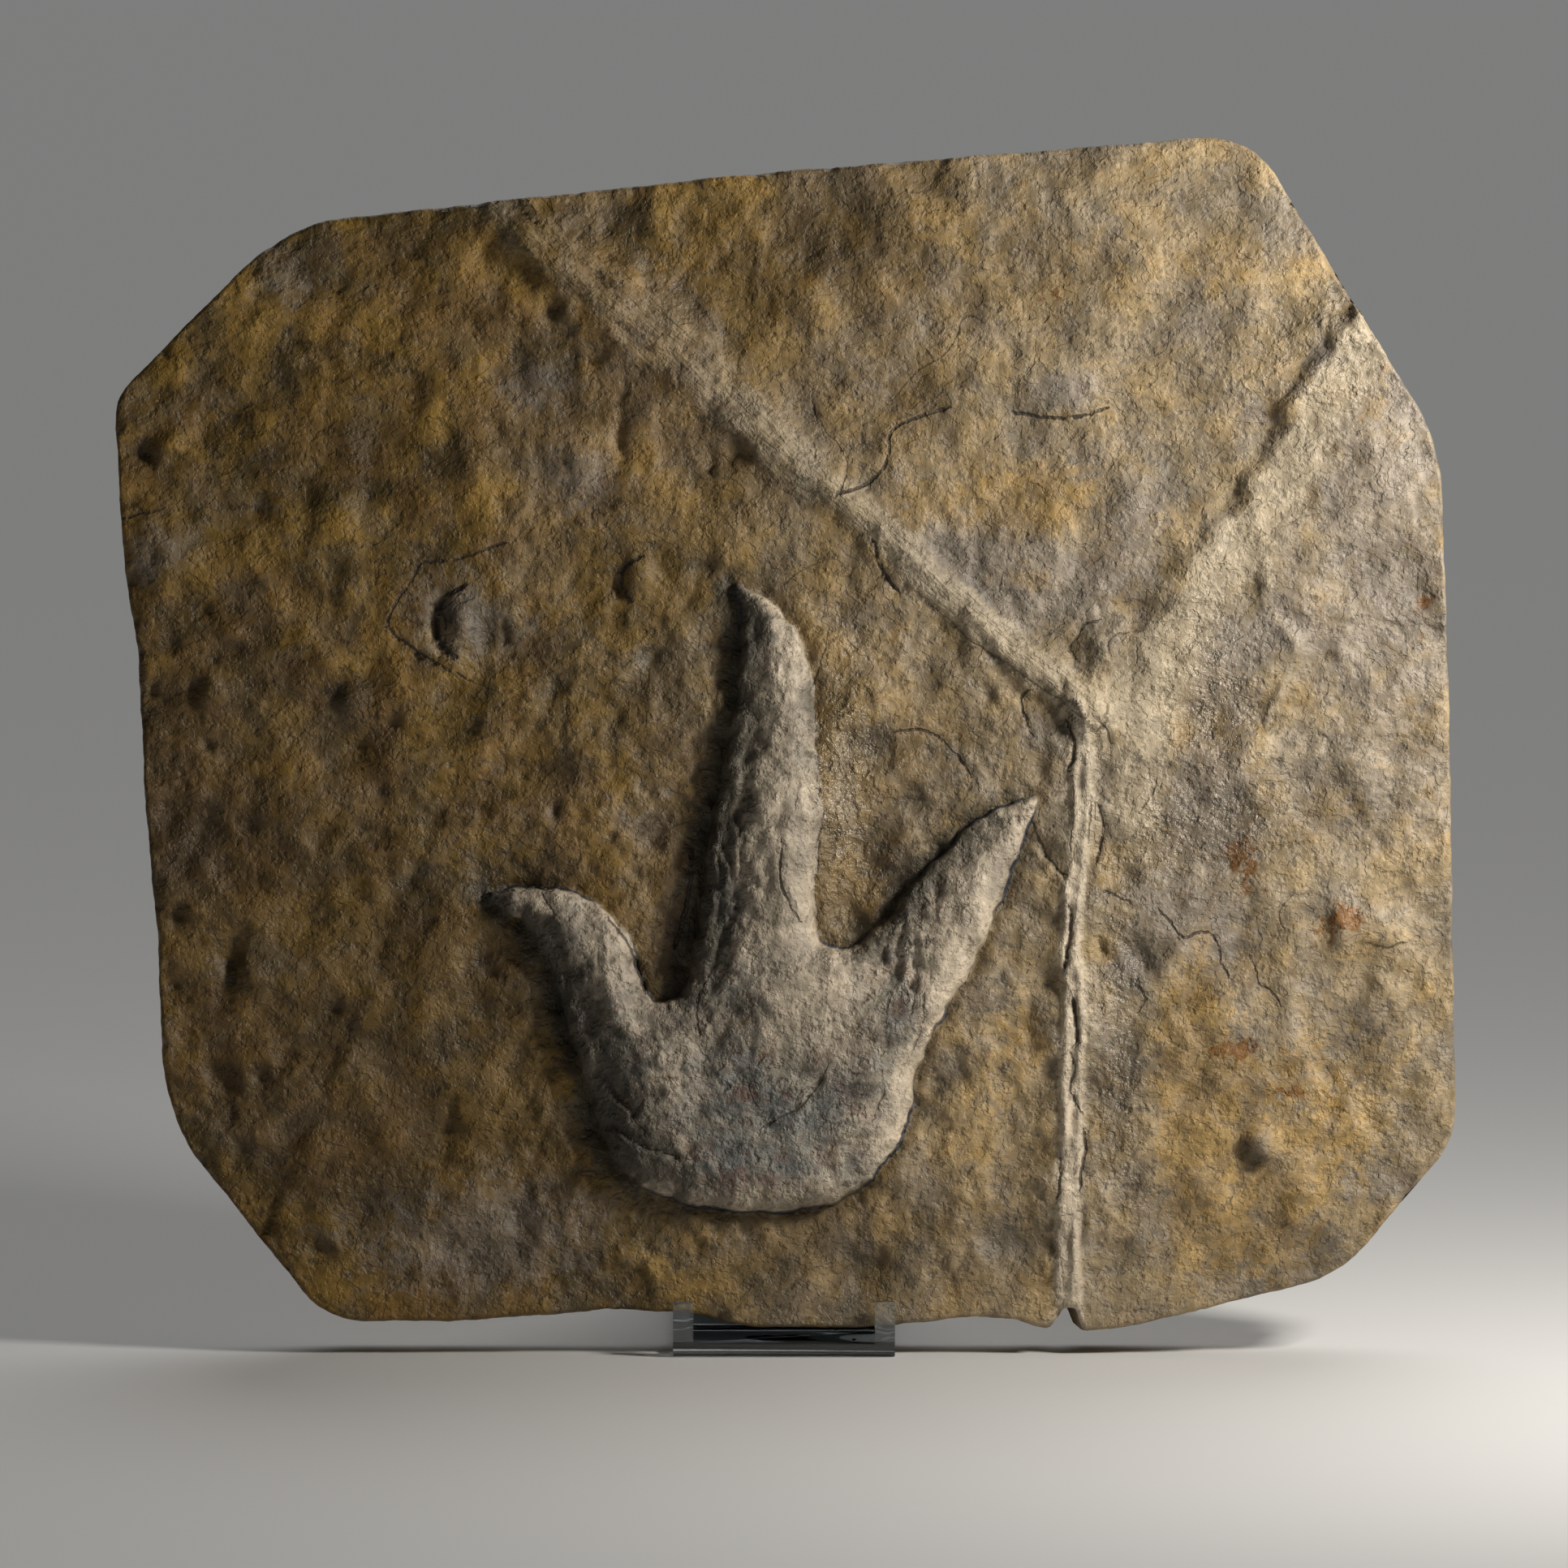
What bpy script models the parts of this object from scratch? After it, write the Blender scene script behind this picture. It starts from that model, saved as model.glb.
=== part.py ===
"""Grallator footprint: the raised natural cast of a three-toed print on a mudstone slab, on a
clear acrylic stand. Sizes are in millimetres until the meshes are made. The slab is described in
its own plane: u runs to the right, v up from its resting edge and w out of its flat back. It then
leans back against the stand. The origin is the middle of the stand's underside."""

import math

import bmesh
import bpy
import numpy as np
from mathutils.geometry import delaunay_2d_cdt

MM = 0.001
GAP = 0.3  # between the slab and the stand that holds it

LEAN = math.radians(10)  # the slab leans back this far from upright
SLAB_THICKNESS = 18.0
FRONT_RIM = 3.0  # radius worn onto the slab's front edge
BACK_RIM = 1.2
PLAIN_FOOT = 14.0  # the face's relief fades out this far above the resting edge, for the prongs

SHEET = 3.2  # thickness of the acrylic
STAND_WIDTH, STAND_DEPTH = 53.0, 108.0
PRONG_WIDTH, PRONG_HEIGHT = 4.8, 13.4
PANEL_HEIGHT = 152.0  # up the slab's back, to the top bend
SEAT_DEPTH = 18.5  # from the panel's foot to the prongs

STAND_FRONT = -STAND_DEPTH / 2
PRONG_BACK = STAND_FRONT + SHEET
HEEL = (PRONG_BACK + SEAT_DEPTH, SHEET + GAP)  # y and z of the slab's rear bottom edge

# The slab's outline, anticlockwise from its lower left: corner u, v and how far its round reaches.
OUTLINE = [
    (-111.5, 4.0, 5), (-102.5, 1.5, 3), (-79.0, 1.5, 8), (-40.0, 4.5, 4), (-22.5, 3.5, 4),
    (-7.0, 0.0, 4), (20.5, 0.0, 4), (43.5, 2.5, 3), (55.5, 2.0, 3), (63.5, -0.5, 1.5),
    (67.0, 4.5, 0.5), (69.5, 4.5, 0.5), (71.5, -1.0, 1.5), (84.5, 0.5, 4), (133.0, 12.5, 9),
    (161.0, 45.5, 7), (159.5, 152.5, 11), (157.5, 212.0, 11), (112.0, 285.5, 12), (-7.0, 276.0, 11),
    (-119.0, 265.0, 15), (-160.0, 224.0, 5), (-160.5, 216.5, 1.5), (-159.5, 201.0, 4),
    (-158.5, 183.5, 4), (-155.0, 162.0, 4), (-153.0, 123.0, 6), (-150.0, 92.0, 6),
    (-149.0, 62.5, 6), (-145.0, 46.0, 8),
]

# The print's outline, from the left toe's claw anticlockwise round the heel.
PRINT_OUTLINE = [
    (-72.0, 103.5), (-63.5, 97.5), (-58.5, 91.5), (-55.0, 84.0), (-53.0, 75.5), (-50.0, 66.5),
    (-46.5, 56.0), (-43.5, 45.5), (-39.0, 38.0), (-32.5, 33.0), (-20.5, 29.0), (-5.0, 27.5),
    (8.5, 29.0), (16.5, 32.0), (23.0, 38.0), (28.0, 45.0), (30.5, 52.0), (31.5, 60.5),
    (35.0, 69.0), (40.0, 78.0), (45.5, 87.0), (49.0, 95.0), (52.5, 103.5), (56.0, 113.0),
    (60.5, 127.0), (53.5, 125.0), (48.0, 123.0), (43.0, 119.0), (37.0, 112.5), (30.5, 106.5),
    (25.5, 99.0), (20.5, 94.5), (14.5, 91.0), (9.0, 92.5), (7.5, 101.5), (8.5, 114.5),
    (9.5, 123.0), (8.5, 134.0), (7.5, 146.5), (7.0, 155.0), (4.5, 164.0), (0.0, 171.0),
    (-5.5, 175.5), (-12.0, 178.5), (-10.5, 173.0), (-10.5, 164.0), (-11.0, 154.0), (-13.0, 141.5),
    (-15.5, 130.0), (-18.0, 119.0), (-19.0, 108.5), (-20.5, 97.5), (-22.5, 87.0), (-24.5, 80.0),
    (-29.5, 78.5), (-33.0, 80.0), (-35.0, 87.0), (-37.0, 94.0), (-41.5, 98.5), (-47.0, 103.0),
    (-54.0, 105.0), (-63.5, 105.5),
]
# Pads of the toes and the heel: u, v, height above the ground, and how far in from the edge the
# flank has climbed to it.
PADS = [
    (-10, 173, 2.5, 5), (-4, 158, 6.5, 8), (-4, 141, 9, 9), (-4, 122, 10, 11), (-5, 102, 9.5, 12),
    (-2, 82, 8.5, 14), (-66, 102, 3, 4), (-57, 98, 6, 6), (-47, 87, 7.5, 8), (-40, 71, 7.5, 10),
    (-28, 60, 7, 13), (57, 122, 2, 4), (48, 112, 5, 6), (38, 97, 7, 8), (31, 83, 7.5, 9),
    (22, 66, 7.5, 12), (-6, 52, 6.5, 16), (-6, 36, 5.5, 9),
]
PAD_SPREAD = 10.0
PRINT_STEP = 1.3  # height of the crisp edge all round the print
STEP_WIDTH = 0.8

# Casts of mud cracks, which stand up as ridges, along u, v.
LONG_RIDGE = [
    (-69.5, 271), (-56, 257.5), (-40, 244), (-24.5, 232), (-9, 218.5), (3.5, 206.5),
    (13.5, 199.5), (24, 190.5), (36, 179), (49.5, 167), (63, 156), (74, 146),
]
UPRIGHT_RIDGE = [
    (73, 150), (70, 136.5), (70.5, 121), (68.5, 105.5), (67.5, 90), (69.5, 74.5), (68, 58.5),
    (69, 45), (67.5, 31.5), (67.5, 17), (68.5, 3),
]
LEDGE = [
    (74, 146), (82.5, 162), (92.5, 177.5), (102, 190.5), (111, 203), (119, 216.5), (125.5, 230.5),
    (139, 247),
]
LEDGE_HEIGHT, LEDGE_FALL = 2.4, 38.0

# Knobs: u, v, radius and height.
KNOBS = [
    (-77, 168, 5.5, 3.2), (-34, 179, 4, 2.0), (-103, 150, 5, 2.4), (-128, 85, 5, 2.8),
    (-149, 212, 4, 1.8), (-127, 160, 4, 1.8), (-138, 153, 5, 1.5), (114.5, 43, 5, 2.8),
    (133.5, 96.5, 6, 1.8), (-82, 26, 5, 1.4), (-117, 122, 6, 1.2), (-71, 143, 5, 1.2),
    (64, 140, 4, 1.4), (76, 160, 5, 1.8), (88, 158, 4, 1.2),
]
# Broad swells of the ground, and hollows where the height is below zero: u, v, radius and height.
SWELLS = [
    (-147, 184, 8, 1.6), (-119, 250, 8, 1.0), (85, 150, 14, 1.6), (84, 124, 10, 1.4),
    (-30, 236, 17, 2.4), (-15, 212, 17, 1.8), (-29, 92, 8, -1.8), (17, 108, 9, -1.6),
    (60, 216, 22, -1.0), (-60, 225, 26, 0.9), (-100, 205, 24, 0.8), (-95, 70, 26, 0.7),
    (112, 108, 24, 0.8), (105, 15, 20, -0.8), (45, 250, 26, 0.7), (20, 10, 16, -0.7),
]
# Lumps all over the ground: their size, their height and the seed of their places.
LUMPS = [(26.0, 0.9, 3), (13.0, 0.7, 5)]

# Distances between the points that carry the relief.
OUTLINE_SPACING = 6.0
PRINT_SPACING = 3.6
RIDGE_SPACING = 4.5
GROUND_SPACING = 5.6


def clear_scene():
    for obj in list(bpy.data.objects):
        bpy.data.objects.remove(obj)


def material(name, colour, roughness, transmission=0.0):
    """A Principled material of one colour."""
    made = bpy.data.materials.new(name)
    made.use_nodes = True
    shader = made.node_tree.nodes["Principled BSDF"]
    shader.inputs["Base Color"].default_value = (*colour, 1.0)
    shader.inputs["Roughness"].default_value = roughness
    shader.inputs["Metallic"].default_value = 0.0
    shader.inputs["Transmission Weight"].default_value = transmission
    return made


def smooth_step(x):
    x = np.clip(x, 0, 1)
    return x * x * (3 - 2 * x)


def noise(points, size, seed):
    """Gradient noise, from -1 to 1: a random slope at each corner of a square lattice of the given
    size, blended smoothly between the corners."""
    angles = np.random.default_rng(seed).uniform(0, 2 * math.pi, (64, 64))
    place = points / size
    cell = np.floor(place).astype(int)
    within = place - cell
    blend = within**3 * (within * (within * 6 - 15) + 10)
    total = np.zeros(len(points))
    for right in (0, 1):
        for up in (0, 1):
            angle = angles[(cell[:, 0] + right) % 64, (cell[:, 1] + up) % 64]
            slope = np.cos(angle) * (within[:, 0] - right) + np.sin(angle) * (within[:, 1] - up)
            weight = np.abs(1 - right - blend[:, 0]) * np.abs(1 - up - blend[:, 1])
            total += weight * slope
    return 1.5 * total


def rounded(corners, most_turn=math.radians(18)):
    """The closed polygon of (x, y, reach) corners, each turned into an arc that starts reach
    before the corner and ends reach after it."""
    points = []
    for i, (x, y, reach) in enumerate(corners):
        here = np.array((x, y), float)
        before = np.array(corners[i - 1][:2], float) - here
        after = np.array(corners[(i + 1) % len(corners)][:2], float) - here
        before /= np.linalg.norm(before)
        after /= np.linalg.norm(after)
        between = math.acos(np.clip(before @ after, -1, 1))
        turn = math.pi - between
        if reach == 0 or turn < math.radians(1):
            points.append(here)
            continue
        radius = reach * math.tan(between / 2)
        middle = before + after
        middle *= math.hypot(reach, radius) / np.linalg.norm(middle)
        steps = max(1, math.ceil(turn / most_turn))
        for step in range(steps + 1):
            angle = turn * step / steps
            arm = (before * reach - middle) * math.cos(angle) - before * radius * math.sin(angle)
            points.append(here + middle + arm)
    return np.array(points)


def resampled(line, spacing, closed=False):
    """The same line with points added, so that none are further apart than spacing."""
    line = np.array(line, float)
    ends = np.roll(line, -1, axis=0) if closed else line[1:]
    points = []
    for a, b in zip(line, ends):
        count = max(1, math.ceil(np.hypot(*(b - a)) / spacing))
        points.extend(a + (b - a) * step / count for step in range(count))
    if not closed:
        points.append(line[-1])
    return np.array(points)


def beside(line, distance, closed=False):
    """The line moved sideways, to its left where the distance is above zero."""
    if closed:
        along = np.roll(line, -1, axis=0) - np.roll(line, 1, axis=0)
    else:
        along = np.gradient(line, axis=0)
    along /= np.hypot(*along.T)[:, None]
    return line + distance * np.column_stack([-along[:, 1], along[:, 0]])


def ring(u, v, radius, count):
    angles = np.linspace(0, 2 * math.pi, count, endpoint=False)
    return np.column_stack([u + radius * np.cos(angles), v + radius * np.sin(angles)])


def nearest_on(points, line, closed=False):
    """Distance from each point to a line, and its side of it: 1 to the left, -1 to the right."""
    line = np.array(line, float)
    ends = np.roll(line, -1, axis=0) if closed else line[1:]
    starts = line if closed else line[:-1]
    best = np.full(len(points), np.inf)
    side = np.ones(len(points))
    for a, b in zip(starts, ends):
        along = b - a
        share = np.clip((points - a) @ along / (along @ along), 0, 1)
        distance = np.hypot(*(points - a - share[:, None] * along).T)
        closer = distance < best
        best[closer] = distance[closer]
        turn = along[0] * (points - a)[:, 1] - along[1] * (points - a)[:, 0]
        side[closer] = np.sign(turn)[closer]
    return best, side


def inside(points, polygon):
    """Which points lie in a closed polygon: a ray from each crosses it an odd number of times."""
    found = np.zeros(len(points), bool)
    polygon = np.array(polygon, float)
    for (ax, ay), (bx, by) in zip(polygon, np.roll(polygon, -1, axis=0)):
        if ay == by:
            continue
        spans = (ay > points[:, 1]) != (by > points[:, 1])
        found ^= spans & (points[:, 0] < (bx - ax) * (points[:, 1] - ay) / (by - ay) + ax)
    return found


def print_height(points):
    """Height of the print above the ground: a crisp step at its edge, then a flank that rounds
    over to the height of the pads near by."""
    distance, _ = nearest_on(points, PRINT_OUTLINE, closed=True)
    within = inside(points, PRINT_OUTLINE)
    pads = np.array(PADS, float)
    away = np.hypot(points[:, :1] - pads[:, 0], points[:, 1:] - pads[:, 1])
    weight = np.exp(-(away**2) / (2 * PAD_SPREAD**2)) + 1e-9
    weight /= weight.sum(axis=1, keepdims=True)
    climb = np.clip(distance / (weight @ pads[:, 3]), 0, 1)
    dome = (weight @ pads[:, 2] - PRINT_STEP) * np.sqrt(1 - (1 - climb) ** 2)
    return np.where(within, PRINT_STEP * np.clip(distance / STEP_WIDTH, 0, 1) + dome, 0)


def ridge_height(points):
    """Height of the mud-crack casts: a narrow crest on a broad swell for the two ridges, and a
    ledge whose right-hand side stands higher and falls away slowly."""
    long_way, _ = nearest_on(points, LONG_RIDGE)
    broad = 8 + 8 * smooth_step((points[:, 1] - 195) / 60)
    height = 2.2 * np.exp(-((long_way / broad) ** 2)) + 2.0 * np.exp(-((long_way / 3.4) ** 2))
    upright, _ = nearest_on(points, UPRIGHT_RIDGE)
    height += 1.0 * np.exp(-((upright / 7) ** 2)) + 2.4 * np.exp(-((upright / 3.0) ** 2))
    ledge, side = nearest_on(points, LEDGE)
    beyond = -ledge * side
    fall = np.exp(-np.maximum(beyond, 0) / LEDGE_FALL)
    return height + LEDGE_HEIGHT * smooth_step((beyond + 2.5) / 5) * fall


def front_height(points, outline):
    """How far the slab's face stands out of its back at each (u, v)."""
    raised = print_height(points)
    relief = ridge_height(points) + raised
    for u, v, radius, height in KNOBS + SWELLS:
        away = np.hypot(points[:, 0] - u, points[:, 1] - v) / radius
        relief += height * np.exp(-(away**2))
    lumpy = np.where(raised > 0, 0.4, 1.0)
    for size, height, seed in LUMPS:
        relief += lumpy * height * noise(points, size, seed)
    distance, _ = nearest_on(points, outline, closed=True)
    worn = FRONT_RIM * (1 - np.sqrt(1 - np.clip(1 - distance / FRONT_RIM, 0, 1) ** 2))
    return SLAB_THICKNESS + relief * smooth_step(points[:, 1] / PLAIN_FOOT) - worn


def thinned(points, kept, clearance):
    """The points of a list that are no nearer than clearance to a kept one or to each other."""
    kept = list(kept)
    added = []
    for point in points:
        near = np.array(kept)
        if np.hypot(*(near - point).T).min() >= clearance:
            kept.append(point)
            added.append(point)
    return added


def relief_points(outline, print_edge):
    """Points that carry the face's relief: rows along its rim, the print's step, the ridges and
    the knobs, then an even triangular pattern over the ground."""
    rows = [(beside(outline, reach, closed=True), 0.6 * reach) for reach in (0.9, FRONT_RIM)]
    rows += [(beside(print_edge, reach, closed=True), 0.6 * reach) for reach in (STEP_WIDTH, 3.0)]
    for line, flanks in ((LONG_RIDGE, (3, 8)), (UPRIGHT_RIDGE, (2.6,)), (LEDGE, (3,))):
        crest = resampled(line, RIDGE_SPACING)
        rows.append((crest, 2.0))
        rows += [(beside(crest, side * reach), 2.0) for reach in flanks for side in (1, -1)]
    for u, v, radius, _ in KNOBS:
        for share, count in ((0, 1), (0.7, 7), (1.4, 9)):
            rows.append((ring(u, v, share * radius, count), 1.7))
    across = np.arange(-165, 165, GROUND_SPACING)
    up = np.arange(-5, 290, GROUND_SPACING * math.sqrt(0.75))
    grid = [(u + (row % 2) * GROUND_SPACING / 2, v) for row, v in enumerate(up) for u in across]
    rows.append((np.array(grid), 0.62 * GROUND_SPACING))
    kept = [*outline, *print_edge]
    for points, clearance in rows:
        distance, _ = nearest_on(points, outline, closed=True)
        fits = inside(points, outline) & (distance > 0.7)
        kept += thinned(points[fits], kept, clearance)
    return np.array(kept)


def make_slab():
    """The face is a Delaunay net through the relief's points, with the outline and the print's
    edge kept as lines in it. Its border is carried back to the slab's flat back."""
    outline = resampled(rounded(OUTLINE), OUTLINE_SPACING, closed=True)
    print_edge = resampled(PRINT_OUTLINE, PRINT_SPACING, closed=True)
    points = relief_points(outline, print_edge)
    lines = [(i, (i + 1) % len(outline)) for i in range(len(outline))]
    lines += [(len(outline) + i, len(outline) + (i + 1) % len(print_edge)) for i in range(len(print_edge))]
    only_inside = 1
    net = delaunay_2d_cdt([tuple(point) for point in points], lines, [], only_inside, 1e-4)
    places = np.array([tuple(point) for point in net[0]])
    heights = front_height(places, outline)

    shape = bmesh.new()
    corners = [shape.verts.new((u, -w, v)) for (u, v), w in zip(places, heights)]
    for triangle in net[2]:
        shape.faces.new([corners[i] for i in triangle])
    middle_u, middle_v = outline.mean(axis=0)
    for depth, share in ((BACK_RIM, 1.0), (0.0, 1 - BACK_RIM / 150)):
        border = [edge for edge in shape.edges if edge.is_boundary]
        grown = bmesh.ops.extrude_edge_only(shape, edges=border)["geom"]
        for vertex in (item for item in grown if isinstance(item, bmesh.types.BMVert)):
            u = middle_u + (vertex.co.x - middle_u) * share
            v = middle_v + (vertex.co.z - middle_v) * share
            vertex.co = (u, -depth, v)
    bmesh.ops.contextual_create(shape, geom=[edge for edge in shape.edges if edge.is_boundary])
    bmesh.ops.recalc_face_normals(shape, faces=shape.faces)
    bmesh.ops.scale(shape, vec=(MM, MM, MM), verts=shape.verts)
    slab = add_object("slab", shape)
    slab.data.materials.append(material("mudstone", (0.40, 0.33, 0.22), 0.85))
    slab.data.shade_smooth()
    slab.rotation_euler = (-LEAN, 0, 0)
    slab.location = (0, HEEL[0] * MM, HEEL[1] * MM)
    return slab


def add_object(name, shape):
    """Turns a finished bmesh into an object of the scene."""
    mesh = bpy.data.meshes.new(name)
    shape.to_mesh(mesh)
    shape.free()
    obj = bpy.data.objects.new(name, mesh)
    bpy.context.scene.collection.objects.link(obj)
    return obj


def prism(name, outline, width):
    """A closed solid: an outline in (y, z) carried along X, half the width to each side."""
    shape = bmesh.new()
    face = shape.faces.new([shape.verts.new((-width / 2, y, z)) for y, z in outline])
    grown = bmesh.ops.extrude_face_region(shape, geom=[face])["geom"]
    moved = [item for item in grown if isinstance(item, bmesh.types.BMVert)]
    bmesh.ops.translate(shape, vec=(width, 0, 0), verts=moved)
    bmesh.ops.recalc_face_normals(shape, faces=shape.faces)
    bmesh.ops.scale(shape, vec=(MM, MM, MM), verts=shape.verts)
    return add_object(name, shape)


def cut(obj, cutter):
    cutter.hide_render = True
    cutter.display_type = "WIRE"
    boolean = obj.modifiers.new(cutter.name, "BOOLEAN")
    boolean.operation = "DIFFERENCE"
    boolean.object = cutter


def crossing(a, a_way, b, b_way):
    """Where the line through a and the line through b cross."""
    share, _ = np.linalg.solve(np.column_stack([a_way, -np.array(b_way)]), np.array(b) - np.array(a))
    return tuple(np.array(a) + share * np.array(a_way))


def make_stand():
    """One bent strip of acrylic: a base with two prongs at its front, a brace that rises from the
    base's rear, and a panel that comes down from the top bend behind the slab."""
    up = np.array((math.sin(LEAN), math.cos(LEAN)))
    out = np.array((-math.cos(LEAN), math.sin(LEAN)))
    level = (1.0, 0.0)
    front = np.array(HEEL) - GAP * out
    top = front + PANEL_HEIGHT * up
    rear = np.array((STAND_DEPTH / 2, 0.0))
    brace = (top - rear) / np.linalg.norm(top - rear)
    inner = rear + SHEET * np.array((-brace[1], brace[0]))
    back = front - SHEET * out
    strip = prism("stand", rounded([
        (STAND_FRONT, 0, 2.5), (*rear, 4), (*top, 3), (*crossing(front, up, (0, SHEET), level), 0.8),
        (PRONG_BACK, SHEET, 0.8), (PRONG_BACK, PRONG_HEIGHT, 0.8), (STAND_FRONT, PRONG_HEIGHT, 0.8),
    ]), STAND_WIDTH)
    hollow = prism("hollow", rounded([
        (*crossing(back, up, (0, SHEET), level), 1.5), (*crossing(inner, brace, (0, SHEET), level), 3),
        (*crossing(inner, brace, back, up), 6),
    ]), 2 * STAND_WIDTH)
    cut(strip, hollow)
    window = prism("window", [
        (STAND_FRONT - 5, SHEET), (PRONG_BACK + 1, SHEET),
        (PRONG_BACK + 1, 2 * PRONG_HEIGHT), (STAND_FRONT - 5, 2 * PRONG_HEIGHT),
    ], STAND_WIDTH - 2 * PRONG_WIDTH)
    cut(strip, window)
    strip.data.materials.append(material("acrylic", (0.93, 0.97, 0.98), 0.05, 1.0))
    return strip


clear_scene()
make_slab()
make_stand()
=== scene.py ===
# %% [markdown]
# A footprint in stone
#
# The object is a slab of mudstone with the raised cast of a three-toed dinosaur footprint on its
# face. Mud once filled the print, and the filling stands out now that the layer under it has
# gone. The slab leans on a small clear acrylic stand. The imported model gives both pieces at
# their real size. This script gives the stone its fine surface and both pieces their finish.

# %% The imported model
import math

import bmesh
import bpy
import numpy as np
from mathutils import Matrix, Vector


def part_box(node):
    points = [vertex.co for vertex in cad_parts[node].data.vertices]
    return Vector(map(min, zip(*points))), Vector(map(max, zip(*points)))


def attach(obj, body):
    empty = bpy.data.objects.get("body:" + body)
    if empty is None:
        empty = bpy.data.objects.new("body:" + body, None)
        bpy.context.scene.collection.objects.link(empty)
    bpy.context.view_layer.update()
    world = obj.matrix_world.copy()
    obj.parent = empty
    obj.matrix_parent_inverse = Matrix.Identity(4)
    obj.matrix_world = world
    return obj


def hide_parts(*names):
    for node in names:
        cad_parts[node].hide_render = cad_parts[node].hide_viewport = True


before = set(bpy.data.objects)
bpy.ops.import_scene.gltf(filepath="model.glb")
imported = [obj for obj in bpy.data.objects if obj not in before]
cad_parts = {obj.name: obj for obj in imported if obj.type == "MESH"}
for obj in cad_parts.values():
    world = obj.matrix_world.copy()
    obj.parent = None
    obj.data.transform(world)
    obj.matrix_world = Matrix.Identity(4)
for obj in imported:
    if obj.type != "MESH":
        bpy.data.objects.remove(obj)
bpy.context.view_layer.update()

# %% [markdown]
# The slab's own plane
#
# It is easier to carve a leaning slab while it lies flat. So every point of it is first given as
# u to the right, v up the face and w out of its flat back, in millimetres, and tilted at the end.
# The tilt goes about the slab's rear bottom edge, which the stand holds.

# %% From the slab's plane to the room
MM = 0.001
LEAN = math.radians(10)
THICKNESS = 18.0
SHEET = 3.2  # the acrylic of the stand
SEAT_DEPTH = 18.5  # between the prongs and the stand's panel
GAP = 0.3

HEEL_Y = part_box("stand")[0].y / MM + SHEET + SEAT_DEPTH
HEEL_Z = SHEET + GAP


def in_room(u, v, w):
    """Points of the slab in metres: (u, v, w) turned back by LEAN about the rear bottom edge,
    so y = heel + v sin(lean) - w cos(lean) and z = heel + v cos(lean) + w sin(lean)."""
    y = HEEL_Y + v * math.sin(LEAN) - w * math.cos(LEAN)
    z = HEEL_Z + v * math.cos(LEAN) + w * math.sin(LEAN)
    return np.column_stack([u, y, z]) * MM


print("rear bottom edge at", in_room(0.0, 0.0, 0.0))

# %% [markdown]
# The outline
#
# The slab was trimmed to a rough octagon, and its corners have worn round. Each corner is kept
# as a place and the reach of its round, so the whole outline is a short list of numbers.

# %% The slab's outline
OUTLINE = [
    (-111.5, 4.0, 5), (-102.5, 1.5, 3), (-79.0, 1.5, 8), (-40.0, 4.5, 4), (-22.5, 3.5, 4),
    (-7.0, 0.0, 4), (20.5, 0.0, 4), (43.5, 2.5, 3), (55.5, 2.0, 3), (63.5, -0.5, 1.5),
    (67.0, 4.5, 0.5), (69.5, 4.5, 0.5), (71.5, -1.0, 1.5), (84.5, 0.5, 4), (133.0, 12.5, 9),
    (161.0, 45.5, 7), (159.5, 152.5, 11), (157.5, 212.0, 11), (112.0, 286.7, 12), (-7.0, 277.2, 11),
    (-119.0, 265.0, 15), (-160.0, 224.0, 5), (-160.5, 216.5, 1.5), (-159.5, 201.0, 4),
    (-158.5, 183.5, 4), (-155.0, 162.0, 4), (-153.0, 123.0, 6), (-150.0, 92.0, 6), (-149.0, 62.5, 6),
    (-145.0, 46.0, 8),
]


def rounded(corners, steps=6):
    """A closed line through (u, v, reach) corners. Each corner becomes a quadratic curve from
    reach before it to reach after it, with the corner itself as the point that pulls it."""
    corner = np.array([c[:2] for c in corners], float)
    reach = np.array([c[2] for c in corners], float)[:, None]
    before = np.roll(corner, 1, axis=0) - corner
    after = np.roll(corner, -1, axis=0) - corner
    start = corner + reach * before / np.linalg.norm(before, axis=1, keepdims=True)
    end = corner + reach * after / np.linalg.norm(after, axis=1, keepdims=True)
    share = np.linspace(0, 1, steps + 1)[None, :, None]
    curve = (1 - share) ** 2 * start[:, None] + 2 * share * (1 - share) * corner[:, None]
    return (curve + share**2 * end[:, None]).reshape(-1, 2)


outline = rounded(OUTLINE)
print("outline:", len(outline), "points,", np.ptp(outline, axis=0).round(1), "mm across")

# %% [markdown]
# A net over the face
#
# A face like this is a height above a flat net. The outline is first made a little ragged, as
# worn stone is. The net has to follow it, so it is a Coons patch: four sides are chosen on the
# outline, and every point inside is blended from the four points across from it. Its cells are
# smallest at the rim and round the footprint, where there is most to show.

# %% The net
ACROSS, UP = 312, 260  # cells, both a multiple of four
PATCH_CORNERS = [(-128.0, 25.0), (147.0, 29.0), (134.5, 249.0), (-139.5, 244.5)]
FACE_WIDTH = 300  # mm, roughly, to turn millimetres into shares of the face
RIM_ROWS = np.array([0.0, 0.35, 0.8, 1.5, 2.4])  # mm from the rim
FINE_ACROSS = (0.24, 0.76)  # the share of the face that has the finer cells
FINE_UP = (0.04, 0.66)
CROWDING = 0.75
CROWD_FADE = 0.06
RIM_WAVES = [(23.0, 0.10, 0.4), (8.3, 0.06, 2.0), (3.4, 0.05, 1.1)]  # length and height in mm, start


def smooth_step(x):
    """0 below 0, 1 above 1 and 3x^2 - 2x^3 between."""
    x = np.clip(x, 0, 1)
    return x * x * (3 - 2 * x)


def ramp(value, low, high):
    """0 at low, 1 at high and a smooth step between them. High may be the lower one."""
    return smooth_step((value - low) / (high - low))


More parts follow.
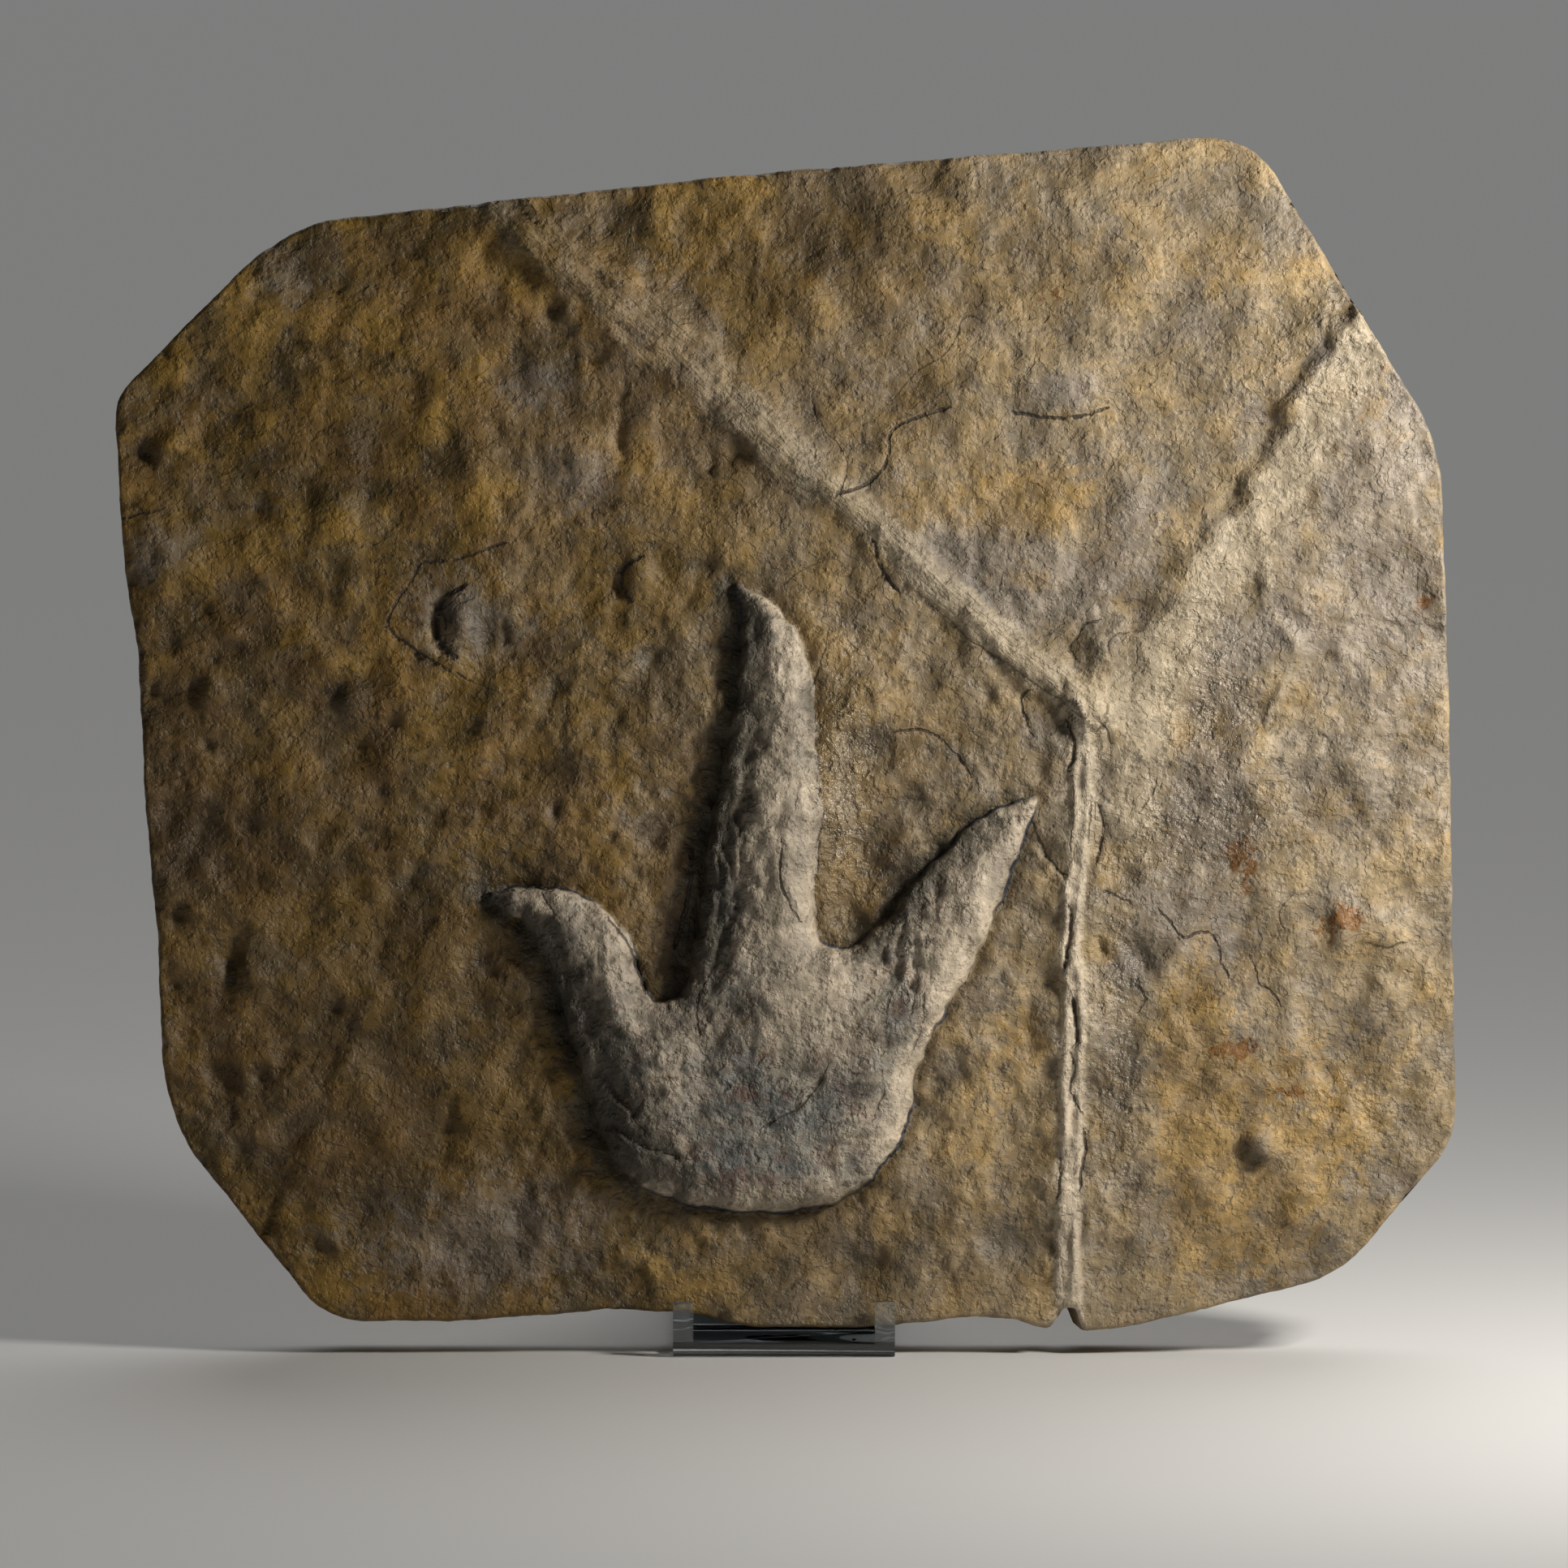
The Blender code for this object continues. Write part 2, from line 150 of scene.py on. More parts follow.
def side_between(line, a, b):
    """The stretch of a closed line from its point nearest to a on to its point nearest to b, as
    a function that gives the point at each share of the stretch's length."""
    first = np.hypot(*(line - a).T).argmin()
    last = np.hypot(*(line - b).T).argmin()
    count = (last - first) % len(line)
    stretch = line[(first + np.arange(count + 1)) % len(line)]
    run = np.append(0, np.cumsum(np.hypot(*np.diff(stretch, axis=0).T)))
    return lambda share: np.column_stack(
        [np.interp(share * run[-1], run, stretch[:, k]) for k in (0, 1)])


def spacing(cells, fine):
    """Shares from 0 to 1: the rim's rows at both ends, and between them cells whose width goes
    down by 1 / (1 + CROWDING) in the fine stretch."""
    rim = RIM_ROWS / FACE_WIDTH
    share = np.linspace(rim[-1], 1 - rim[-1], 2001)
    crowd = CROWDING * smooth_step((share - fine[0]) / CROWD_FADE)
    crowd = 1 + crowd * smooth_step((fine[1] - share) / CROWD_FADE)
    run = np.append(0, np.cumsum((crowd[1:] + crowd[:-1]) / 2))
    inner = np.interp(np.linspace(0, run[-1], cells - 2 * (len(rim) - 1) + 1), run, share)
    return np.concatenate([rim[:-1], inner, 1 - rim[-2::-1]])


def coons(sides, s, t):
    """The Coons patch of four sides: across plus up, less the plain blend of the corners."""
    low, right, top, left = sides
    s, t = s[None, :, None], t[:, None, None]
    bottom, ceiling = low(s.ravel())[None], top(1 - s.ravel())[None]
    start, end = left(1 - t.ravel())[:, None], right(t.ravel())[:, None]
    corners = (1 - s) * (1 - t) * bottom[:, :1] + s * (1 - t) * bottom[:, -1:]
    corners = corners + (1 - s) * t * ceiling[:, :1] + s * t * ceiling[:, -1:]
    return (1 - t) * bottom + t * ceiling + (1 - s) * start + s * end - corners


def dense(line, step=1.0):
    """A closed line with points added, so that none are further apart than step."""
    ends = np.roll(line, -1, axis=0)
    counts = np.maximum(1, np.ceil(np.hypot(*(ends - line).T) / step)).astype(int)
    pieces = [a + (b - a) * np.arange(n)[:, None] / n for a, b, n in zip(line, ends, counts)]
    return np.concatenate(pieces)


def ragged_line(line, waves, shift=0.0):
    """A closed line moved to its left by a shift and a sum of sine waves of how far along it a
    point is."""
    way = np.roll(line, -1, axis=0) - np.roll(line, 1, axis=0)
    way /= np.linalg.norm(way, axis=1, keepdims=True)
    turns = 2 * math.pi * np.cumsum(np.hypot(*(line - np.roll(line, 1, axis=0)).T))
    wander = shift + sum(height * np.sin(turns / length + start) for length, height, start in waves)
    return line + wander[:, None] * way[:, ::-1] * (-1, 1)


worn_outline = ragged_line(dense(outline), RIM_WAVES, sum(wave[1] for wave in RIM_WAVES))
sides = [side_between(worn_outline, np.array(PATCH_CORNERS[k]), np.array(PATCH_CORNERS[(k + 1) % 4]))
         for k in range(4)]
shares_across, shares_up = spacing(ACROSS, FINE_ACROSS), spacing(UP, FINE_UP)
net = coons(sides, shares_across, shares_up).reshape(-1, 2)
widths = FACE_WIDTH * np.diff(shares_across)[len(RIM_ROWS):-len(RIM_ROWS)]
print("net:", len(net), "points, cells", widths.min().round(2), "to", widths.max().round(2), "mm wide")

# %% [markdown]
# Distances to lines
#
# Nearly everything on this face follows a line: the print's edge, the mud-crack ridges, the
# ledge and the fine cracks. One function measures how far each point is from a line, on which
# side of it, and how far along it. Shapes and colours both use it later.

# %% Distance to a line


def nearest_on(points, line, closed=False):
    """Distance from each point to a line of points, its side (1 left of the line's way, -1
    right), the nearest place and how far along the line that is. Each stretch is tried in turn,
    for all the points at once."""
    line = np.array(line, float)
    ends = np.roll(line, -1, axis=0) if closed else line[1:]
    starts = line if closed else line[:-1]
    best = np.full(len(points), np.inf)
    side = np.ones(len(points))
    place = np.zeros_like(points)
    run = np.zeros(len(points))
    gone = 0.0
    for a, b in zip(starts, ends):
        along = b - a
        length = math.hypot(*along)
        share = np.clip((points - a) @ along / length**2, 0, 1)
        foot = a + share[:, None] * along
        distance = np.hypot(*(points - foot).T)
        closer = distance < best
        best[closer] = distance[closer]
        turn = along[0] * (points - a)[:, 1] - along[1] * (points - a)[:, 0]
        side[closer] = np.sign(turn)[closer]
        place[closer] = foot[closer]
        run[closer] = gone + share[closer] * length
        gone += length
    return best, side, place, run


def curved(line, steps=4, closed=False):
    """A smooth line through the given points: a Catmull-Rom curve, where the way at each point
    is half the way from the point before it to the point after it."""
    line = np.array(line, float)
    if closed:
        padded = np.vstack([line[-1:], line, line[:2]])
    else:
        padded = np.vstack([2 * line[:1] - line[1:2], line, 2 * line[-1:] - line[-2:-1]])
    a, b, c, d = (padded[k:len(padded) - 3 + k][:, None] for k in range(4))
    t = (np.arange(steps) / steps)[None, :, None]
    square, cube = 2 * a - 5 * b + 4 * c - d, 3 * b - a - 3 * c + d
    curve = (0.5 * (2 * b + (c - a) * t + square * t**2 + cube * t**3)).reshape(-1, 2)
    return curve if closed else np.vstack([curve, line[-1:]])


rim_distance = nearest_on(net, worn_outline, closed=True)[0]
print("furthest from the rim:", rim_distance.max().round(1), "mm")

# %% [markdown]
# The print's edge
#
# The cast has a crisp edge, like a coin's. A net with cells of a millimetre would show it as
# little steps, so points near the edge are drawn towards it. The cells there become a quarter
# as wide, and no point changes its order along the net.

# %% The print's edge and the net drawn towards it
PRINT_EDGE = [
    (-72.0, 103.5), (-63.5, 97.5), (-58.5, 91.5), (-55.0, 84.0), (-53.0, 75.5), (-50.0, 66.5),
    (-46.5, 56.0), (-43.5, 45.5), (-39.0, 38.0), (-32.5, 33.0), (-20.5, 29.0), (-5.0, 27.5),
    (8.5, 29.0), (16.5, 32.0), (23.0, 38.0), (28.0, 45.0), (30.5, 52.0), (31.5, 60.5), (35.0, 69.0),
    (40.0, 78.0), (45.5, 87.0), (49.0, 95.0), (52.5, 103.5), (56.0, 113.0), (60.5, 127.0),
    (53.5, 125.0), (48.0, 123.0), (43.0, 119.0), (37.0, 112.5), (30.5, 106.5), (25.5, 99.0),
    (20.5, 94.5), (14.5, 91.0), (9.0, 92.5), (7.5, 101.5), (8.5, 114.5), (9.5, 123.0), (8.5, 134.0),
    (7.5, 146.5), (7.0, 155.0), (4.5, 164.0), (0.0, 171.0), (-5.5, 175.5), (-12.0, 178.5),
    (-10.5, 173.0), (-10.5, 164.0), (-11.0, 154.0), (-13.0, 141.5), (-15.5, 130.0), (-18.0, 119.0),
    (-19.0, 108.5), (-20.5, 97.5), (-22.5, 87.0), (-24.5, 80.0), (-29.5, 78.5), (-33.0, 80.0),
    (-35.0, 87.0), (-37.0, 94.0), (-41.5, 98.5), (-47.0, 103.0), (-54.0, 105.0), (-63.5, 105.5),
]
DRAWN_FROM = 3.0  # mm from the edge
DRAWING = 1.7  # how strongly: 1 leaves the points where they are
EDGE_WAVES = [(11.0, 0.30, 0.0), (5.3, 0.20, 1.0), (2.3, 0.11, 2.5)]  # length and height in mm, start


def drawn(points, line, reach, power, closed=False):
    """Points within reach of a line, moved towards it: distance d becomes
    reach (d / reach) ** power, which leaves those on the line and at the reach alone."""
    distance, _, place, _ = nearest_on(points, line, closed)
    share = np.clip(distance / reach, 1e-6, 1)
    return place + (points - place) * (share ** (power - 1))[:, None]


print_edge = ragged_line(curved(PRINT_EDGE, steps=6, closed=True), EDGE_WAVES)
net = drawn(net, print_edge, DRAWN_FROM, DRAWING, closed=True)
net_u, net_v = net.T
edge_distance, edge_side, edge_place, _ = nearest_on(net, print_edge, closed=True)
into_print = edge_distance * edge_side  # mm, above zero on the print
inward = (net - edge_place)[:, 0] * edge_side / np.maximum(edge_distance, 1e-6)
# Edges facing left face away from the light; painted shade goes beside them.
left_edge = smooth_step(inward * 0.9 + 0.15)  # 1 beside an edge that faces left
print("points on the print:", int((into_print > 0).sum()))

# %% [markdown]
# Rough ground
#
# Stone is rough at every size, from wide swells to single grains. Gradient noise blends random
# slopes from the corners of a square lattice, and is right for swells and grain. How far it is
# from zero makes folds. Round dimples and lumps, one in each cell of a lattice, give the pitted
# look. Where thin layers have scaled off, a noise is cut into terraces. The seeds are fixed, so
# the stone is the same each time.

# %% Noise and dimples
LATTICE = 64


def noise(points, size, seed):
    """Gradient noise, about -1 to 1, with lumps of the given size in mm. Size may be one number
    or two, for lumps that are longer one way."""
    angles = np.random.default_rng(seed).uniform(0, 2 * math.pi, (LATTICE, LATTICE))
    place = points / np.array(size, float)
    cell = np.floor(place).astype(int)
    within = place - cell
    blend = within**3 * (within * (within * 6 - 15) + 10)
    total = np.zeros(len(points))
    for right in (0, 1):
        for up in (0, 1):
            angle = angles[(cell[:, 0] + right) % LATTICE, (cell[:, 1] + up) % LATTICE]
            slope = np.cos(angle) * (within[:, 0] - right) + np.sin(angle) * (within[:, 1] - up)
            weight = np.abs(1 - right - blend[:, 0]) * np.abs(1 - up - blend[:, 1])
            total += weight * slope
    return 1.5 * total


def dimples(points, size, seed, widest=0.58, highest=0.8, rarity=1):
    """Round bumps, height * exp(-(distance / radius)^2), one at a random place in each cell of
    a lattice of the given size. Their heights go from -1 (a pit) to highest, with fewer large
    ones the higher the rarity, and their radii from half of widest to widest, as shares of the
    cell."""
    chance = np.random.default_rng(seed)
    shift = chance.uniform(0.1, 0.9, (LATTICE, LATTICE, 2))
    radius = chance.uniform(widest / 2, widest, (LATTICE, LATTICE))
    height = chance.uniform(-1.0, highest, (LATTICE, LATTICE))
    height *= np.abs(height) ** (rarity - 1)
    place = points / np.array(size, float)
    cell = np.floor(place).astype(int)
    total = np.zeros(len(points))
    for step in [(right, up) for right in (-1, 0, 1) for up in (-1, 0, 1)]:
        i, j = ((cell + step) % LATTICE).T
        away = ((place - cell - step - shift[i, j]) ** 2).sum(axis=1) / radius[i, j] ** 2
        total += height[i, j] * np.exp(-away)
    return total


def folds(points, size, seed):
    """Rounded lumps with sharp creases between them: how far a noise is from zero."""
    return 2 * np.abs(noise(points, size, seed)) - 0.6


def layered(pattern, points, layers):
    """The sum of a pattern's layers, each with a size, a height and a seed."""
    return sum(height * pattern(points, size, seed) for size, height, seed in layers)


def strayed(points, size, seed, reach):
    """How far two noises, each up to about reach, carry a point to the side and up."""
    return reach * np.column_stack([noise(points, size, seed), noise(points, size, seed + 1)])


def terraced(height, step, sharp=2.4):
    """A height turned into level treads with steep rises between them."""
    level = np.floor(height / step)
    return step * (level + smooth_step((height / step - level - 0.5) * sharp + 0.5))


# The swells are the solid's own. The dimples are a little taller than wide.
SWELL_LAYERS = [(26.0, 0.9, 3), (13.0, 0.7, 5)]
DIMPLE_LAYERS = [((11.0, 13.0), 1.1, 71), ((6.2, 7.2), 0.8, 72), ((3.8, 4.2), 0.42, 73)]
PIT_LAYER = ((9.5, 10.5), 1.4, 74)  # narrow pits, with no lumps among them
FOLD_LAYERS = [((9.0, 11.0), 0.28, 75), ((4.2, 4.8), 0.2, 76), ((2.6, 2.8), 0.1, 79)]
GRAIN_LAYERS = [(2.4, 0.18, 12), (1.6, 0.08, 13)]
SCALED_LAYERS = [((17.0, 13.0), 1.0, 83), (6.0, 0.4, 84)]
SCALE_STEP = 0.32  # mm, the thickness of the thin layers that have scaled off

bent = net + strayed(net, 7.0, 77, 1.5)
swells = layered(noise, net, SWELL_LAYERS)
pitted = layered(dimples, bent, DIMPLE_LAYERS)
pits = PIT_LAYER[1] * dimples(bent, PIT_LAYER[0], PIT_LAYER[2], widest=0.3, highest=0.0, rarity=4)
pitted += pits * (1 - 0.85 * ramp(net_u, -20, 40))  # fewer to the right
pitted += layered(folds, bent, FOLD_LAYERS)
grain = layered(noise, net, GRAIN_LAYERS)
scaled_off = layered(noise, bent, SCALED_LAYERS) + 0.16 * noise(net, 2.8, 85)
scaled_off = terraced(scaled_off, SCALE_STEP, sharp=4)
print("swells", np.ptp(swells).round(2), "mm, dimples", np.ptp(pitted).round(2), "mm")

# %% [markdown]
# The print
#
# A toe's cast rounds over from its edge to a pad, as a cushion does. Each pad has a place, a
# height and a width of flank, and points between pads take a blend of the nearest ones. A crest
# runs down each toe, and the stone falls away to its left. Along the left of the middle toe the
# flank has split into thin layers, cut here as terraces, with a few loose slivers in front.

# %% The print's height
PADS = [  # u, v, height above the ground, and how wide the flank is
    (-10, 173, 2.5, 5), (-4, 158, 5, 8), (-2, 141, 7.5, 9), (-3, 122, 9.5, 11), (-4, 102, 9.5, 12),
    (-2, 82, 8.5, 14), (-66, 102, 3, 4), (-57, 98, 6, 6), (-47, 87, 7.5, 8), (-40, 71, 7.5, 10),
    (-28, 60, 7, 13), (57, 122, 2, 4), (48, 112, 5, 6), (38, 97, 7, 8), (31, 83, 7.5, 9),
    (22, 66, 7.5, 12), (-6, 52, 6.5, 16), (-6, 36, 5.5, 9),
]
PAD_SPREAD = 10.0
PRINT_STEP = 1.3
STEP_WIDTH = 0.8
SPLIT_FLANKS = [(-15, 118, 7, 32), (29, 92, 6, 18), (-50, 76, 5, 20)]
SPLIT_STEP = 1.3
SMOOTH = [  # the smooth crests of the toes and heel: u, v, two radii and how smooth
    (4, 95, 5, 45, 1.0), (48, 104, 5, 20, 0.9), (37, 76, 5, 16, 0.8), (-48, 92, 5, 10, 0.8),
    (-4, 50, 18, 10, 0.5), (12, 76, 10, 0.6), (-8, 32, 28, 6, 0.9), (24, 48, 9, 12, 0.7),
]
CRESTS = [  # the crest of each toe, from its tip to the heel, and how steeply it falls to its left
    (0.26, [(-10, 176), (-2, 160), (0.5, 142), (0.5, 120), (-0.5, 100), (-1, 82), (0, 66)]),
    (0.30, [(59, 125), (50, 113), (41, 96), (35, 80), (31, 66)]),
    (0.26, [(-70, 103), (-55, 97), (-45, 86), (-40, 72), (-35, 56), (-26, 44)]),
]
CREST_REACH = 22.0
SLIVERS = [
    [(-22.2, 113), (-21.1, 106.5), (-19.5, 100)],
    [(-17.5, 125), (-17.9, 119), (-16.8, 113.3), (-16, 108.4)],
    [(-16.4, 123), (-15.6, 115.2), (-13.7, 109.4), (-12.9, 103.5)],
    [(-11.9, 121), (-11.3, 111.3), (-11.9, 101.6)],
    [(-10.5, 152.3), (-11.9, 146.4), (-13.5, 142.5)], [(-14.2, 98), (-16.5, 92), (-17.5, 87)],
    [(-44, 60), (-40.5, 54), (-37, 51)], [(-41, 47), (-35, 42.5), (-27, 40)],
]
HOLLOW_SIDE = [(12, 128, 9, 27, 1.4)]  # where the print passes softly into the ground beside it
HOLLOW_RISE, HOLLOW_FALL = 4.4, 6.5  # the ground's height there at the edge, and its reach


def hump(away, width, power=2):
    """exp(-(distance / width)^power): 1 on a line and nearly 0 at twice the width from it."""
    return np.exp(-((away / width) ** power))


def bumps(points, places):
    """The sum of soft round bumps, height * exp(-(distance / radius)^2). A place is u, v,
    radius and height, or u, v, two radii and height."""
    total = np.zeros(len(points))
    for u, v, *radii, height in places:
        away = ((points[:, 0] - u) / radii[0]) ** 2 + ((points[:, 1] - v) / radii[-1]) ** 2
        total += height * np.exp(-away)
    return total


def patch(places):
    """Bumps over the net, kept between 0 and 1."""
    return np.clip(bumps(net, places), 0, 1)


def print_height(points, inward):
    """The crisp step at the edge, then a quarter circle up to the blended height of the pads."""
    pads = np.array(PADS, float)
    away = np.hypot(points[:, :1] - pads[:, 0], points[:, 1:] - pads[:, 1])
    weight = np.exp(-(away**2) / (2 * PAD_SPREAD**2)) + 1e-9
    weight /= weight.sum(axis=1, keepdims=True)
    climb = np.clip(inward / (weight @ pads[:, 3]), 0, 1)
    cushion = (weight @ pads[:, 2] - PRINT_STEP) * np.sqrt(1 - (1 - climb) ** 2)
    return np.where(inward > 0, PRINT_STEP * np.clip(inward / STEP_WIDTH, 0, 1) + cushion, 0)


def sliver_height(points):
    """A thin blade along each line, with a gap beside it on the left as the line comes down."""
    total = np.zeros(len(points))
    for line in SLIVERS:
        distance, side, _, _ = nearest_on(points, curved(line))
        across = -distance * side
        total += 0.7 * hump(across, 0.6) - hump(across + 1.2, 0.7)
    return total


on_print = smooth_step(into_print / 2)
wavy = layered(noise, net, [((4.0, 9.0), 0.9, 21), ((1.8, 3.6), 0.4, 22)])
raised = print_height(net, into_print)
split = patch([(*place, 1.4) for place in SPLIT_FLANKS]) * (raised > 0.5)
raised += split * (terraced(raised + wavy, SPLIT_STEP) - raised)
raised += sliver_height(net)
for fall, line in CRESTS:
    distance, side, _, run = nearest_on(net, curved(line))
    left_of = np.maximum(-distance * side, 0)
    fading = ramp(left_of, CREST_REACH, CREST_REACH - 12) * ramp(run, run.max(), run.max() - 22)
    raised -= fall * left_of * fading * smooth_step(into_print / 6)
lumpy = layered(folds, bent, [((8.0, 14.0), 0.8, 23), ((4.0, 7.5), 0.5, 24)])
lumpy += 0.34 * folds(net, (2.2, 4.2), 25) + 0.5 * noise(net, 12.0, 26)
rough_part = smooth_step(0.75 + 0.5 * noise(net, 14.0, 27) - patch(SMOOTH))
raised += lumpy * on_print * (0.2 + 0.8 * rough_part)
beside_toe = patch(HOLLOW_SIDE)
soft_side = HOLLOW_RISE * np.exp(np.minimum(into_print, 0) / HOLLOW_FALL)
raised = np.maximum(raised, beside_toe * soft_side)
moat = -0.6 * hump(into_print, 1.4) * (into_print < 0) * (1 - beside_toe)
print("the print stands", raised.max().round(1), "mm above the ground")

# %% [markdown]
# Ridges, ledge and knobs
#
# The mud had dried and cracked before it was buried. The filled cracks stand up as ridges: one
# comes down from the upper left, one stands upright at the right like a flat cord, and a ledge
# goes on to the upper right. Noise that is drawn out along a ridge splits it into long layers.
# Knobs and pits are single bumps, and one round stone sits half sunk at the lower right.

# %% Ridges, ledge and knobs
LONG_RIDGE = [
    (-69.5, 271), (-56, 257.5), (-40, 244), (-24.5, 232), (-9, 218.5), (3.5, 206.5), (13.5, 199.5),
    (24, 190.5), (36, 179), (49.5, 167), (63, 156), (74, 146),
]
UPRIGHT_RIDGE = [
    (69, 149), (71, 143), (71.5, 135), (71, 121), (69.5, 105.5), (68.5, 90), (69.5, 74.5),
    (68.5, 58.5), (69, 45), (68.2, 31.5), (67.7, 17), (68.5, 3),
]
LEDGE = [
    (74, 146), (82.5, 162), (92.5, 177.5), (102, 190.5), (111, 203), (119, 216.5), (125.5, 230.5),
    (139, 247),
]
VEIN = [
    (112, 196), (114.9, 183.5), (115.8, 173.7), (119.7, 166.9), (123, 163), (119.7, 154.2),
    (116.4, 146.4), (115.8, 136.7),
]
LEDGE_HEIGHT, LEDGE_FALL = 2.2, 38.0
CORD_LIPS = [(-1.7, 0.9, 91), (1.5, 1.0, 92)]  # the upright ridge's lips: mm right, width, seed
KNOBS = [
    (-77.5, 169, 4.4, 6.6, 3.4), (-35.0, 179.5, 3.0, 4.4, 2.4), (-103, 150, 4, 2.2),
    (-128, 85, 5, 2.0), (-149, 212, 3.5, 1.6), (-127, 160, 3.5, 1.6), (-138, 153, 4, 1.4),
    (133.5, 96.5, 4.5, 1.8), (-82, 26, 5, 1.2), (-117, 122, 6, 1.0), (-71, 143, 5, 1.0),
    (64, 140, 4, 1.0), (76, 160, 5, 1.2), (88, 158, 4, 1.0), (-24, 227, 5, 1.2),
]
ROUND_STONE = (113.8, 43.6, 4.6, 3.0)  # u, v, radius and height
PITS = [
    (-106.5, 151, 2, 3, -1.5), (-82.6, 169, 1.7, 6.5, -2.2), (-38.6, 179.5, 1.4, 4.2, -1.4),
    (-131.5, 87.5, 3, 7, -2.6), (-152, 211, 2, 4, -1.6), (-71.2, 260, 3.0, 2.5, -1.1),
    (-67, 254, 2.5, 3, -1.1), (-55.8, 244, 2.5, 3.5, -1.5), (-45.6, 232.4, 2.4, 3.2, -1.5),
    (-39, 223.5, 2.2, 4, -1.4), (-39, 214, 1.3, 4.5, -1.3), (-18, 208, 2, 4, -1.0),
    (-131, 218.5, 3, -1.2), (-140, 154, 2.5, 3, -1.0), (-99, 235, 4, -0.8), (37, 59, 3, 2, -0.8),
    (-115, 29, 4, -1.0), (-83, 28, 3, -1.0), (126, 219.5, 4, 5, -1.4), (-60, 164, 3, -0.8),
    (129, 97, 2, 4, -0.9),
]
SWELLS = [
    (-147, 184, 8, 1.6), (-119, 250, 8, 1.0), (84, 152, 13, 1.5), (84, 126, 9, 16, 1.2),
    (-15, 212, 17, 0.8), (-29, 92, 8, -1.8), (17, 108, 8, 20, -1.6), (104, 150, 9, 18, -0.9),
    (60, 216, 22, -1.0), (-60, 225, 26, 0.9), (-100, 205, 24, 0.8), (-95, 70, 26, 0.7),
    (112, 108, 24, 0.8), (105, 15, 20, -0.8), (45, 250, 26, 0.7), (20, 10, 16, -0.7),
]
STREAK = (18.0, 1.9)  # mm along a ridge and across it


def dome(points, u, v, radius, height):
    """A round stone half sunk in the mud: height * sqrt(1 - (distance / radius)^2)."""
    away = np.hypot(points[:, 0] - u, points[:, 1] - v) / radius
    return height * np.sqrt(np.clip(1 - away**2, 0, 1))


def streaks(run, off, seed):
    """Long layers: a noise that is far longer along the ridge than across it."""
    return noise(np.column_stack([run, off]), STREAK, seed)


long_way, long_side, _, long_run = nearest_on(net, curved(LONG_RIDGE))
long_off = long_way * long_side  # above zero on the upper right
wobble = 0.5 * noise(net, 9.0, 31)[:, None]
upright, upright_side, _, upright_run = nearest_on(net + wobble, curved(UPRIGHT_RIDGE))
upright_off = upright * upright_side  # above zero on the right
rough_net = net + strayed(net, 7.5, 43, 2.0) + strayed(net, 2.8, 45, 0.6)
ledge, ledge_side, _, ledge_run = nearest_on(rough_net, curved(LEDGE))
beyond = -ledge * ledge_side  # above zero on the ledge's right
vein = nearest_on(net + wobble, curved(VEIN))[0]

upper = ramp(net_v, 195, 240)
long_wide = 5.0 + 4.0 * upper + 1.5 * noise(net, 9.0, 32) + 1.6 * upper * noise(net, 5.0, 86)
on_long = hump(long_off - upper, long_wide, 4)
ridges = (1.3 + 0.6 * upper) * on_long * (1 + 0.35 * upper * noise(net, 13.0, 87))
ridges += (0.45 + 0.5 * upper) * streaks(long_run, long_off, 35) * on_long
ridges += 0.35 * streaks(long_run * 2, long_off * 1.7, 36) * on_long
ridges += (0.9 - 0.5 * upper) * (1 + 0.6 * noise(net, 3.6, 33)) * hump(long_off, 1.9)

cord_half = 2.0 + 0.7 * ramp(net_v, 105, 65)
cord_half += 0.6 * noise(net, 6.0, 37) + 0.3 * noise(net, 2.0, 38)
cord = smooth_step((cord_half - np.abs(upright_off)) / 1.6 + 0.5)
ridges += 0.8 * hump(upright, 6) + cord * (0.25 + 0.4 * streaks(upright_run, upright_off, 39))
for off, wide, seed in CORD_LIPS:
    lip = hump(upright_off - off + 0.6 * noise(net, 7.0, seed), wide)
    ridges += 0.7 * lip * smooth_step(0.75 + 1.2 * noise(net, (8.0, 11.0), seed + 2))
ridges += 0.6 * hump(upright_off - 5, 1.3) * smooth_step(noise(net, (30.0, 12.0), 40) * 3)

step_width = 8.0 - 5.8 * ramp(net_v, 168, 204) + 1.6 * noise(net, 11.0, 47)
step = smooth_step(beyond / np.maximum(step_width, 1.5) + 0.5) * smooth_step(ledge_run / 25)
ledge_height = LEDGE_HEIGHT * (0.5 + 0.5 * ramp(net_v, 165, 205))
ridges += ledge_height * step * np.exp(-np.maximum(beyond, 0) / LEDGE_FALL)
ridges += 0.4 * streaks(beyond * 0.2, net_v * 0.3, 34) * step * hump(beyond - 8, 9)
ridges += 0.95 * hump(vein, 0.8)
knobs = bumps(bent, KNOBS + SWELLS + PITS) + dome(net, *ROUND_STONE)

nearest_ridge = np.argmin([long_way, upright, np.abs(beyond - 6)], axis=0)
fibre_run = np.choose(nearest_ridge, [long_run, upright_run, ledge_run])
fibre_off = np.choose(nearest_ridge, [long_off, upright_off, beyond])
ledge_band = smooth_step(beyond / 3) * hump(beyond, 9) * ramp(net_v, 150, 170)
fibrous = np.clip(on_long + 0.5 * cord + 0.8 * ledge_band, 0, 1)
print("ridges reach", ridges.max().round(1), "mm")

# %% [markdown]
# Fine cracks and flakes
#
# Hairline cracks run beside the ridges and across the print, and thin flakes have lifted or
# gone. A crack is a short line with a width. The signed distance to it is kept as well, since
# the stone's material draws the dark hairline from it, far finer than the net. The plain
# distance goes with it, because a signed one also crosses zero where two cracks' areas meet.

